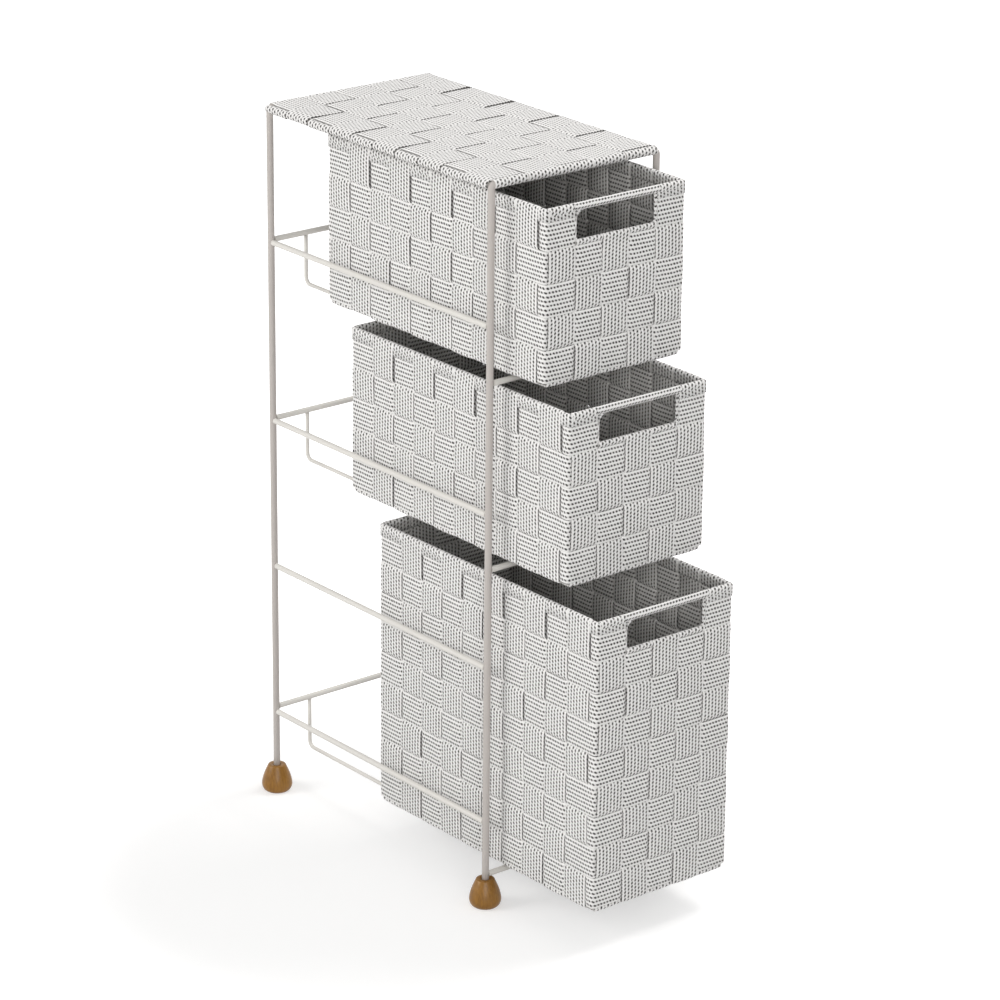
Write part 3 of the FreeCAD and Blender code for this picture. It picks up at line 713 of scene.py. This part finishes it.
class Basket:
    """Where a basket's walls, columns and rows lie, from the frame's own nodes."""

    STRAY = 0.45
    # Shares of the lift by which the straps of the first row stand off further
    FIRST_LIFTS = (0.5, 1.5)
    # How many of the others do so by chance, and by what share of the lift
    LIFTED, LIFTED_SHARE = 0.1, 0.8

    def __init__(self, name, settings):
        self.body = f"{name}_basket"
        self.sizes, self.strap = sizes, strap = settings.basket, settings.strap
        low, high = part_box(self.node("rim_binding"))
        self.left, self.front = low.x + sizes.wall / 2, low.y + sizes.wall / 2
        self.right, self.back = high.x - sizes.wall / 2, high.y - sizes.wall / 2
        self.width, self.depth = self.right - self.left, self.back - self.front
        self.middle = (self.left + self.right) / 2
        self.posts = [(self.left, self.back), (self.left, self.front),
                      (self.right, self.front), (self.right, self.back)]
        self.rim = high.z
        self.rim_level = self.rim - sizes.fold - strap.thickness / 2
        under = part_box(self.node("long_straps"))[0].z
        # Under the base the straps' bulges stay clear of the runners
        self.base = under + strap.swing + strap.thickness / 2 + strap.crown + sizes.clearance
        tall = self.rim - under - sizes.rim_band - sizes.bottom_fold
        self.rows = round(tall / sizes.row_pitch)
        self.front_pitch = (self.width - 2 * sizes.front_margin) / sizes.columns_front
        side_room = self.depth - sizes.side_margin - sizes.back_margin
        self.side_pitch = side_room / sizes.columns_side
        # The upright straps' edges, from a front corner
        self.front_marks = [sizes.front_margin + number * self.front_pitch
                            for number in range(sizes.columns_front + 1)]
        self.side_marks = [sizes.side_margin + number * self.side_pitch
                           for number in range(sizes.columns_side + 1)]
        # The slot takes all but the outer front columns
        self.slot_half = (sizes.columns_front / 2 - 1) * self.front_pitch
        self.random = numpy.random.default_rng(SEED + LEVELS.index(name))

    def node(self, ending):
        return f"{self.body}_{ending}"

    def row_bound(self, row):
        """Height of the lower edge of a row; row 0 is the rim band."""
        return self.rim - self.sizes.rim_band - row * self.sizes.row_pitch

    def upright_side(self, row, column):
        """1 where the upright strap lies outside, -1 where it lies inside."""
        return 1 if (row + column) % 2 else -1

    def upright_level(self, row, column):
        """How far an upright strap's middle stands out of the wall's middle in a row."""
        level = self.upright_side(row, column) * self.strap.swing
        if row == 1 and level > 0:
            level += self.strap.lift * self.random.uniform(*self.FIRST_LIFTS)
        elif level > 0 and self.random.random() < self.LIFTED:
            level += self.strap.lift * self.LIFTED_SHARE
        return level

    def stray(self):
        return self.random.normal(0, self.STRAY) * self.strap.uneven

    def columns(self, crosswise):
        """Place across, and the column on either wall, of each strap that runs one way."""
        front, side = self.sizes.columns_front, self.sizes.columns_side
        if crosswise:
            for index in range(side):
                across = self.front + self.sizes.side_margin + (index + 0.5) * self.side_pitch
                yield across, side - index, side + front + 1 + index
        else:
            for index in range(front):
                across = self.left + self.sizes.front_margin + (index + 0.5) * self.front_pitch
                yield across, side + 1 + index, 2 * (side + front) - index

    def way_round(self, half=None):
        """Corners of the way round from the back's middle, or between the ends of the slot."""
        if half is None:
            start = (self.middle, self.back)
            return [start, *self.posts, start]
        return [(self.middle + half, self.front), *self.posts[2:], *self.posts[:2],
                (self.middle - half, self.front)]


def weave_uprights(basket, crosswise):
    """All straps of a basket that go down a wall, under it and up the opposite wall."""
    sizes, strap = basket.sizes, basket.strap
    if crosswise:
        axis, pitch, marks = Y, basket.side_pitch, basket.front_marks
        first, second = basket.left, basket.right
    else:
        axis, pitch, marks = X, basket.front_pitch, basket.side_marks
        first, second = basket.front, basket.back
    rim_out = sizes.wall / 2 - strap.thickness / 2
    rim_fold = (sizes.fold, sizes.tail)
    sill_fold = (sizes.sill_fold, sizes.sill_tail)
    ribbons = Ribbons(strap.thickness)
    for across, near, far in basket.columns(crosswise):
        under_slot = not crosswise and abs(across - basket.middle) < basket.slot_half
        top = basket.rim - sizes.slot_low - sizes.sill_fold if under_slot else basket.rim_level
        down = top - basket.base
        total = down + second - first
        # Where the strap changes side, and its level after that: down, under the base and up
        crossings = [(top - basket.row_bound(row - 1), basket.upright_level(row, near))
                     for row in range(2 if under_slot else 1, basket.rows + 1)]
        crossings.append((top - basket.row_bound(basket.rows), strap.swing))
        crossings += [(down + mark, -basket.upright_side(basket.rows, near + number) * strap.swing)
                      for number, mark in enumerate(marks[:-1])]
        crossings.append((down + marks[-1], strap.swing))
        crossings += [(total + basket.row_bound(row) - basket.base,
                       basket.upright_level(row, far)) for row in range(basket.rows, 0, -1)]
        crossings.append((total + basket.row_bound(0) - basket.base, rim_out))
        bounds = [bound for bound, level in crossings]
        values = [rim_out] + [level for bound, level in crossings]
        levels = [value + basket.stray() / 2 for value in values[1:-1]]
        route = rounded_route([(first, top), (first, basket.base), (second, basket.base),
                               (second, basket.rim_level)], sizes.under_corner, strap.step)
        laid = Laid(strap, route, bounds, [rim_out, *levels, rim_out],
                    bulges(values, strap.crown), (sill_fold if under_slot else rim_fold, rim_fold))
        offset = across + basket.stray()
        phase = basket.random.uniform(0, DOT_PITCH)
        ribbons.add(laid, axis, offset, pitch - strap.side_gap, laid.drift(basket.random), phase)
    return ribbons


def loop_bounds(basket, row, start):
    """Stations where a loop changes side, and its side before each, going round from start.

    The way round starts at the back left corner and runs along the left side, the front, the
    right side and the back.
    """
    width, depth = basket.width, basket.depth
    perimeter = 2 * (width + depth)
    backwards = [depth - mark for mark in basket.side_marks[::-1]]
    begins, ends = [], []
    for offset, marks in ((0, backwards), (depth, basket.front_marks),
                          (depth + width, basket.side_marks),
                          (2 * depth + width, basket.front_marks)):
        begins += [offset + mark for mark in marks[:-1]]
        ends += [offset + mark for mark in marks[1:]]
    begins.append(begins[0] + perimeter)
    crossings = []
    for number, (end, following) in enumerate(zip(ends, begins[1:]), start=1):
        crossings.append(((end - start) % perimeter, -basket.upright_side(row, number)))
        if following > end:
            # Round a corner every loop lies outside
            crossings.append(((following - start) % perimeter, 1))
    return sorted(crossings)


# Length over which a loop lies flat beside a corner, and its least bulge there
CORNER_REACH = 9 * MM
CORNER_BULGE = 0.15
# Length over which a closed loop's wander fades out at its joint
JOINT_REACH = 10 * MM


def weave_loops(basket, first):
    """Loops round the walls in every other row, closed but for row 1, which ends at the slot."""
    sizes, strap = basket.sizes, basket.strap
    end_radius = strap.swing + strap.thickness / 2
    ribbons = Ribbons(strap.thickness)
    for row in range(first, basket.rows + 1, 2):
        height = (basket.row_bound(row - 1) + basket.row_bound(row)) / 2 + basket.stray()
        closed = row > 1
        if closed:
            corners = basket.way_round()
            start = 2 * basket.depth + 1.5 * basket.width
            folds = (None, None)
        else:
            half = basket.slot_half + end_radius
            corners = basket.way_round(half)
            start = basket.depth + basket.width / 2 + half
            folds = [(end_radius, sizes.sill_tail)] * 2
        route = rounded_route(corners, sizes.corner, strap.step)
        crossings = loop_bounds(basket, row, start)
        reach = route[2][-1]
        bounds = [bound for bound, side in crossings if bound < reach]
        # After its last bound a loop is back in its first cell, or in the one beside the slot
        sides_met = [side for bound, side in crossings + crossings[:1]][:len(bounds) + 1]
        sink = 0 if closed else strap.sink
        levels = [side * strap.swing - sink + basket.stray() / 2 for side in sides_met]
        if closed:
            levels[-1] = levels[0]
        raised = [strap.crown if side > 0 else 0 for side in sides_met]
        laid = Laid(strap, route, bounds, levels, raised, folds)
        from_end = numpy.minimum(laid.lengths, laid.lengths[-1] - laid.lengths)
        drift = laid.drift(basket.random) * numpy.clip(from_end / JOINT_REACH, 0, 1) / 2
        from_posts = numpy.array([numpy.linalg.norm(laid.centre - post, axis=1)
                                  for post in basket.posts])
        # The dots start at the front left corner
        phase = -laid.lengths[from_posts[1].argmin()]
        # At the corners the loops lie flat and straight, so that little light comes between
        beside = from_posts.min(axis=0) / CORNER_REACH
        laid.crown *= numpy.clip(beside, CORNER_BULGE, 1)
        drift *= numpy.clip(beside - 0.5, 0, 1)
        ribbons.add(laid, Z, height, sizes.row_pitch - strap.row_gap, drift, phase, closed)
    return ribbons


# Points round a half turn of the rim's tape, and round a corner of the slot's cloth
BEND_POINTS = 9


def rim_wire_mesh(basket):
    """The wire ring that the upright straps fold over."""
    step, around = 12 * MM, 12
    route = rounded_route(basket.way_round(), basket.sizes.corner, step)[0]
    return tube(route[:-1], Z, basket.rim_level, basket.sizes.rim_wire / 2, around, closed=True)


def rim_tape_mesh(basket):
    """Tape folded over the rim wire under the straps' folds, from one end of the grip round."""
    sizes = basket.sizes
    step, flatness, below = 4 * MM, 0.9, 1 * MM
    outer = sizes.wall / 2 - sizes.tape_inset
    drop = sizes.rim_band + below
    bend = numpy.linspace(0, math.pi, BEND_POINTS)
    section = []
    for radius, way in ((outer, 1), (outer - sizes.tape, -1)):
        arc = zip(radius * numpy.cos(bend), radius * numpy.sin(bend) * flatness)
        section += [(radius, -drop), *arc, (-radius, -drop)][::way]
    out, up = numpy.array(section).T
    level = basket.rim - sizes.tape_inset - outer * flatness
    points, headings = rounded_route(basket.way_round(basket.slot_half), sizes.corner, step)[:2]
    normals = outward(headings)
    x, y = (points[:, None] + normals[:, None] * out[:, None]).transpose(2, 0, 1)
    run = distances(points + normals * outer)[:, None]
    return (spots(x, y, level + up), turned(skin(len(points), len(section))),
            spots(run, distances(section), 1))


# The grip's swellings: waves of radians per metre, share of its radius, and start
GRIP_WAVES = ((190, 0.02, 0), (470, 0.012, 1))
GRIP_COLLAR = 0.03
COLLAR_LENGTH = 3 * MM
GRIP_FLATNESS = 0.97


def grip_mesh(basket):
    """Tape wound over the rim wire: a round bar with slight swellings and a collar at each end."""
    rings, around = 61, 20
    radius = basket.sizes.grip / 2
    half = basket.slot_half + basket.sizes.wall / 2
    along = numpy.linspace(-half, half, rings)[:, None]
    near_end = numpy.maximum(0, 1 - (half - abs(along)) / COLLAR_LENGTH)
    swell = 1 + sum(share * numpy.sin(along * pace + start) for pace, share, start in GRIP_WAVES)
    reach = radius * (swell + GRIP_COLLAR * near_end)
    angles = round_angles(around)
    return (spots(basket.middle + along, basket.front + reach * numpy.cos(angles),
                  basket.rim - radius + reach * numpy.sin(angles) * GRIP_FLATNESS),
            skin(rings, around), spots(angles * radius, along, 1))


# How far down the grip the handle slot starts, as a share of its diameter
SLOT_START = 0.98
# How far the cloth of the slot's corners lies under the wall's faces, and over its own corner
CLOTH_INSET = 0.75 * MM
CLOTH_MARGIN = 1 * MM
# Section of its rounded edge: how far it stands back, and its place through the wall
CLOTH_BACK = numpy.array([1, 0.5, 0.15, 0, 0.15, 0.5, 1])
CLOTH_THROUGH = numpy.array([1, 0.92, 0.6, 0, -0.6, -0.92, -1])
CLOTH_EDGE = 0.6


def slot_corner_mesh(basket):
    """Cloth that rounds the handle slot's corners, thin where the slot's sides are straight."""
    sizes = basket.sizes
    low, high = basket.rim - sizes.slot_low, basket.rim - sizes.grip * SLOT_START
    left, right = basket.middle - basket.slot_half, basket.middle + basket.slot_half
    inner, outer = [], []
    for x, z, radius, begin in ((left, high, sizes.slot_round_left, 90),
                                (left, low, sizes.slot_round_low, 180),
                                (right, low, sizes.slot_round_low, 270),
                                (right, high, sizes.slot_round_right, 0)):
        corner = numpy.array((x, z))
        inward = numpy.array((1 if x == left else -1, 1 if z == low else -1))
        for bend in numpy.radians(begin + numpy.linspace(0, 90, BEND_POINTS)):
            inner.append(corner + radius * (inward + (math.cos(bend), math.sin(bend))))
            outer.append(corner - CLOTH_MARGIN * inward)
    inner, outer = numpy.array(inner), numpy.array(outer)
    reach = numpy.linalg.norm(outer - inner, axis=1)
    away = unit(outer - inner)
    thick = sizes.wall / 2 - CLOTH_INSET
    bent = inner[:, None] + away[:, None] * (CLOTH_EDGE * thick * CLOTH_BACK)[:, None]
    net = numpy.concatenate([outer[:, None], bent, outer[:, None]], axis=1)
    depths = numpy.concatenate([[-thick], -thick * CLOTH_THROUGH, [thick]])
    around = len(depths)
    back = numpy.zeros((len(inner), around))
    back[:, 0] = back[:, -1] = reach
    return (spots(net[..., 0], basket.front + depths, net[..., 1]),
            turned(sides(len(inner), around, closed=True)),
            spots(distances(inner)[:, None], back + numpy.arange(around) * MM, 1))


def weave_baskets(settings, weave, kinds):
    """Weave pieces in every basket; a kind is its node's ending and what weave needs for it."""
    for name in LEVELS:
        basket = Basket(name, settings)
        for kind, detail in kinds:
            weave(basket, detail).piece(f"{basket.body}_woven_{kind}", basket.body,
                                        woven(settings.finish), basket.node(kind))
    return {"FINISHED"}


class TOWER_OT_weave_loops(bpy.types.Operator):
    """Weave the strap loops round each basket"""
    bl_idname = "tower.weave_loops"
    bl_label = "Basket loops"

    def execute(self, context):
        first_rows = (("outer_loops", 1), ("inner_loops", 2))
        return weave_baskets(context.scene.tower, weave_loops, first_rows)


class TOWER_OT_weave_uprights(bpy.types.Operator):
    """Weave the upright straps of each basket, which fold over its rim"""
    bl_idname = "tower.weave_uprights"
    bl_label = "Basket uprights"

    def execute(self, context):
        crosswise = (("long_straps", False), ("cross_straps", True))
        return weave_baskets(context.scene.tower, weave_uprights, crosswise)


class TOWER_OT_rims(bpy.types.Operator):
    """Build each basket's rim wire, its taped grip and the cloth corners of its slot"""
    bl_idname = "tower.rims"
    bl_label = "Rims and grips"

    def execute(self, context):
        settings = context.scene.tower
        steel = (steel_material(settings.finish), "plain_steel")
        tape = (woven(settings.finish), "binding_tape")
        pieces = (("rim_wire", rim_wire_mesh, steel, "rim_strip"),
                  ("rim_tape", rim_tape_mesh, tape, "rim_binding"),
                  ("taped_grip", grip_mesh, tape, "grip"),
                  ("slot_corners", slot_corner_mesh, tape, "slot_edging"))
        for name in LEVELS:
            basket = Basket(name, settings)
            for ending, mesh, (finish, slot), node in pieces:
                new_piece(f"{basket.body}_{ending}", basket.body, finish, slot,
                          basket.node(node), *mesh(basket))
        return {"FINISHED"}


# ---------------------------------------------------------------- woven top

class TOWER_OT_weave_top(bpy.types.Operator):
    """Weave the straps of the top and wrap their ends round the wires"""
    bl_idname = "tower.weave_top"
    bl_label = "Woven top"

    # Length over which a skewed strap's ends bend back
    SKEW_REACH = 26 * MM
    # Shares of the unevenness by which a strap strays sideways and up
    ASIDE, UP = 0.5, 0.2

    def execute(self, context):
        settings = context.scene.tower
        sizes, strap, post = settings.top, settings.strap, settings.wire.post / 2
        random = numpy.random.default_rng(TOP_SEED)
        front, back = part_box("front_hoop"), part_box("back_hoop")
        left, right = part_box("top_wire_left"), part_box("top_wire_right")
        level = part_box("top_long_straps")[1].z - sizes.level
        y_front, y_back = ((low.y + high.y) / 2 for low, high in (front, back))
        x_left = (left[0].x + left[1].x) / 2 - sizes.side_wire
        x_right = (right[0].x + right[1].x) / 2 + sizes.side_wire
        x_low, x_high = front[0].x + post + sizes.margin, front[1].x - post - sizes.margin
        y_low, y_high = y_front + sizes.front_margin, y_back - sizes.back_margin
        column_pitch = (x_high - x_low) / sizes.columns
        row_pitch = (y_high - y_low) / sizes.rows
        hoop_wrap = post + strap.thickness / 2
        hoop_end = front[1].z - post + hoop_wrap - level
        rail_end = (left[0].z + left[1].z) / 2 + sizes.side_wrap - level

        def weave(ribbons, axis, across, ends, end_level, bounds, cells, wrap, width, skew=0):
            """One strap: its level at both wrapped ends and in each cell between them."""
            offset = across + random.normal(0, strap.uneven * self.ASIDE)
            values = [end_level, *cells, end_level]
            levels = [value + random.normal(0, strap.uneven * self.UP) for value in values]
            levels[0] = levels[-1] = end_level
            route = rounded_route([(end, level) for end in ends], 0, strap.step)
            laid = Laid(strap, route, bounds, levels, bulges(values, sizes.crown),
                        [(wrap, sizes.tail)] * 2)
            stations = laid.stations
            from_wrap = laid.widen(numpy.minimum(stations, stations[-1] - stations))
            bent = skew * (1 - numpy.clip(from_wrap / self.SKEW_REACH, 0, 1)) ** 2
            phase = random.uniform(0, DOT_PITCH)
            ribbons.add(laid, axis, offset, width, laid.drift(random) + bent, phase)

        def swing(on_top):
            return sizes.swing if on_top else -sizes.swing

        # Rows are numbered from the back, columns from the left
        rows, columns = range(1, sizes.rows + 1), range(1, sizes.columns + 1)
        long_straps, cross_straps = Ribbons(strap.thickness), Ribbons(strap.thickness)
        # A strap keeps its level until it has cleared the hoop's wire
        bounds = [max(y_back - (y_high - (row - 1) * row_pitch), sizes.front_margin)
                  for row in rows] + [y_back - y_low]
        for column in columns:
            weave(long_straps, X, x_low + (column - 0.5) * column_pitch, (y_back, y_front),
                  hoop_end, bounds, [swing((row + column) % 2 == 0) for row in rows],
                  hoop_wrap, column_pitch - sizes.gap)
        bounds = [x_right - (x_low + column * column_pitch)
                  for column in columns[::-1]] + [x_right - x_low]
        for row in rows:
            cells = [swing((row + column) % 2) for column in columns[::-1]]
            cells[0] += sizes.arch if cells[0] > 0 else 0
            weave(cross_straps, Y, y_high - (row - 0.5) * row_pitch, (x_right, x_left),
                  rail_end, bounds, cells, sizes.side_wrap, row_pitch - sizes.gap,
                  sizes.skew * (1 - (row - 1) / (sizes.rows - 1)))
        for node, ribbons in (("top_long_straps", long_straps),
                              ("top_cross_straps", cross_straps)):
            ribbons.piece(f"woven_{node}", RACK, woven(settings.finish), node)
        return {"FINISHED"}


# ---------------------------------------------------------------- rack

class TOWER_OT_rack(bpy.types.Operator):
    """Bend the hoops and runners and paint every wire"""
    bl_idname = "tower.rack"
    bl_label = "Wire rack"

    STEP = 25 * MM
    HOOP_SIDES, RUNNER_SIDES = 20, 16

    def execute(self, context):
        settings = context.scene.tower
        wire = settings.wire
        paint = paint_material("Ivory paint", settings.finish.paint)
        # The hoops get a darker copy of the rails' paint: painted shade on the upright wires
        shaded_post_paint = paint_material("Ivory paint with painted shade", settings.finish.shaded_post_paint)
        for node in ("front_hoop", "back_hoop"):
            low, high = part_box(node)
            radius = wire.post / 2
            left, right, top = low.x + radius, high.x - radius, high.z - radius
            corners = [(left, low.z), (left, top), (right, top), (right, low.z)]
            self.bend(node, corners, wire.hoop_bend, Y, (low.y + high.y) / 2, radius,
                      self.HOOP_SIDES, shaded_post_paint)
        for node in (f"{name}_runner_{side}" for name in LEVELS for side in ("left", "right")):
            low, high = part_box(node)
            radius = wire.runner / 2
            back, bottom = high.y - radius, low.z + radius
            self.bend(node, [(back, high.z), (back, bottom), (low.y, bottom)],
                      wire.runner_bend, X, (low.x + high.x) / 2, radius, self.RUNNER_SIDES,
                      paint)
        for name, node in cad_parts.items():
            if name.startswith("top_wire") or name.endswith(("rail", "rail_left", "rail_right")):
                node.data.materials.clear()
                node.data.materials.append(paint)
        return {"FINISHED"}

    def bend(self, node, corners, bend_radius, axis, offset, radius, around, finish):
        """One wire with rounded bends, in a plane across the axis."""
        flat = rounded_route(corners, bend_radius, self.STEP)[0]
        new_piece(f"bent_{node}", RACK, finish, "ivory_wire", node,
                  *tube(flat, axis, offset, radius, around))


# ---------------------------------------------------------------- feet

class TOWER_OT_feet(bpy.types.Operator):
    """Turn the four wooden feet"""
    bl_idname = "tower.feet"
    bl_label = "Wooden feet"

    AROUND = 48
    EDGE = 0.6 * MM
    SOCKET_DEPTH = 3 * MM
    # How quickly the belly swells above the underside, and how late the taper above it narrows
    SWELL, TAPER = 0.62, 1.55

    def execute(self, context):
        settings = context.scene.tower
        reach = settings.foot.belly / 2
        profile = self.profile(settings.foot, settings.wire.post / 2)
        low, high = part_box("wooden_feet")
        vertices, faces = [], []
        for x in (low.x + reach, high.x - reach):
            for y in (low.y + reach, high.y - reach):
                faces += self.turned_faces(len(vertices), len(profile) - 2)
                vertices += self.turned_points(profile, x, y, low.z)
        new_piece("turned_wooden_feet", RACK, wood_material(settings.finish), "varnished_wood",
                  "wooden_feet", vertices, faces)
        return {"FINISHED"}

    def profile(self, sizes, socket):
        """Radius and height from the middle of the underside up to the middle of the socket."""
        base, belly, neck, top = (size / 2 for size in
                                  (sizes.base, sizes.belly, sizes.neck, sizes.top))
        edge, rise = self.EDGE, sizes.neck_height - sizes.belly_height
        shares = numpy.linspace(0.1, 1, 10)
        # The belly's arc meets the cone above it
        arc = zip(base + (belly - base) * numpy.sin(shares * math.pi / 2) ** self.SWELL,
                  edge + (sizes.belly_height - edge) * shares)
        cone = zip(belly + (neck - belly) * shares ** self.TAPER,
                   sizes.belly_height + rise * shares)
        bottom = sizes.height - self.SOCKET_DEPTH
        return [(0, 0), (base - 4 * edge, 0), (base - edge, 0), (base, edge), *arc, *cone,
                (neck - edge * 0.4, sizes.neck_height + edge * 0.8),
                (top + edge / 2, sizes.height - edge / 2), (top, sizes.height),
                (socket + edge, sizes.height), (socket, sizes.height - edge),
                (socket, bottom), (0, bottom)]

    def turned_points(self, profile, x, y, z):
        """The profile's rings round a foot's middle, between its first and last point."""
        radius, height = numpy.array(profile[1:-1]).T[..., None]
        angles = round_angles(self.AROUND)
        rings = spots(x + radius * numpy.cos(angles), y + radius * numpy.sin(angles), z + height)
        return [(x, y, z + profile[0][1]), *rings, (x, y, z + profile[-1][1])]

    def turned_faces(self, first, rings):
        """Faces between the rings, and a fan at either end."""
        last = first + 1 + rings * self.AROUND
        faces = sides(rings, self.AROUND, first + 1)
        for index in range(self.AROUND):
            following = (index + 1) % self.AROUND
            faces.append((first, first + 1 + following, first + 1 + index))
            faces.append((last - self.AROUND + index, last - self.AROUND + following, last))
        return faces


# ---------------------------------------------------------------- studio

class TOWER_OT_studio(bpy.types.Operator):
    """Set up the floor, the lamps, the surroundings and the camera"""
    bl_idname = "tower.studio"
    bl_label = "Studio"

    FLOOR_HALF, FLOOR_CELLS = 8.0, 8
    SENSOR = 36

    def execute(self, context):
        scene, studio = context.scene, context.scene.tower.studio
        scene.view_settings.view_transform = "Standard"
        self.camera(scene, studio)
        self.floor(scene)
        world = bpy.data.worlds.new("White surroundings")
        white = Tree(world, "Background")
        strength = white.seen_directly() * (1 - studio.fill) + studio.fill
        scene.world = white.dress(Color=(1, 1, 1, 1), Strength=strength)
        middle = sum((Vector(corner) for corner in FRAME_BOX), Vector()) / 2
        for name, offset, size, power in (("Upper lamp", (1.2, -0.25, 2.1), 1.2, studio.key),
                                          ("Left lamp", (-2.3, 1.2, 1.1), 1.6, studio.side),
                                          ("Front lamp", (-1.7, -2.35, 0.9), 1.8, studio.front)):
            data = bpy.data.lights.new(name, "AREA")
            data.color = studio.lamp_colour
            data.shape, data.size, data.energy = "DISK", size, power
            lamp = bpy.data.objects.new(name, data)
            scene.collection.objects.link(lamp)
            lamp.location = middle + Vector(offset)
            lamp.rotation_mode = "QUATERNION"
            lamp.rotation_quaternion = (-Vector(offset)).to_track_quat("-Z", "Y")
        return {"FINISHED"}

    def camera(self, scene, studio):
        turn, tilt, roll = studio.turn, studio.tilt, studio.roll
        back = Vector((math.sin(turn) * math.cos(tilt), -math.cos(turn) * math.cos(tilt),
                       math.sin(tilt)))
        level = Vector((math.cos(turn), math.sin(turn), 0))
        rise = back.cross(level)
        right = level * math.cos(roll) + rise * math.sin(roll)
        up = rise * math.cos(roll) - level * math.sin(roll)
        data = bpy.data.cameras.new("Camera")
        data.sensor_width, data.lens = self.SENSOR, studio.lens
        camera = bpy.data.objects.new("Camera", data)
        scene.collection.objects.link(camera)
        axes = Matrix((right, up, back)).transposed().to_4x4()
        camera.matrix_world = Matrix.Translation(studio.place) @ axes
        scene.camera = camera

    def floor(self, scene):
        marks = numpy.linspace(-self.FLOOR_HALF, self.FLOOR_HALF, self.FLOOR_CELLS + 1)
        wide = len(marks)
        faces = [tuple(row * wide + cell + corner for corner in (0, 1, wide + 1, wide))
                 for row in range(self.FLOOR_CELLS) for cell in range(self.FLOOR_CELLS)]
        mesh = bpy.data.meshes.new("floor")
        mesh.from_pydata([(x, y, 0) for y in marks for x in marks], [], faces)
        mesh.materials.append(floor_material(scene.tower.finish, scene.tower.studio))
        floor = bpy.data.objects.new("floor", mesh)
        scene.collection.objects.link(floor)


# ---------------------------------------------------------------- panel and registration

OPERATORS = (TOWER_OT_studio, TOWER_OT_rack, TOWER_OT_feet, TOWER_OT_weave_top,
             TOWER_OT_weave_loops, TOWER_OT_weave_uprights, TOWER_OT_rims)


class TOWER_PT_panel(bpy.types.Panel):
    """Lists the steps that build the tower"""
    bl_idname = "TOWER_PT_panel"
    bl_label = "Woven storage tower"
    bl_space_type = "VIEW_3D"
    bl_region_type = "UI"
    bl_category = "Tower"

    def draw(self, context):
        for operator in OPERATORS:
            self.layout.operator(operator.bl_idname)


CLASSES = (StrapSizes, BasketSizes, TopSizes, WireSizes, FootSizes, Finishes, StudioSettings,
           TowerSettings, *OPERATORS, TOWER_PT_panel)


def register():
    for entry in CLASSES:
        bpy.utils.register_class(entry)
    bpy.types.Scene.tower = bpy.props.PointerProperty(type=TowerSettings)


def unregister():
    del bpy.types.Scene.tower
    for entry in reversed(CLASSES):
        bpy.utils.unregister_class(entry)


def main():
    register()
    for operator in OPERATORS:
        group, name = operator.bl_idname.split(".")
        getattr(getattr(bpy.ops, group), name)()
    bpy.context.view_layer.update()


if __name__ == "__main__":
    main()
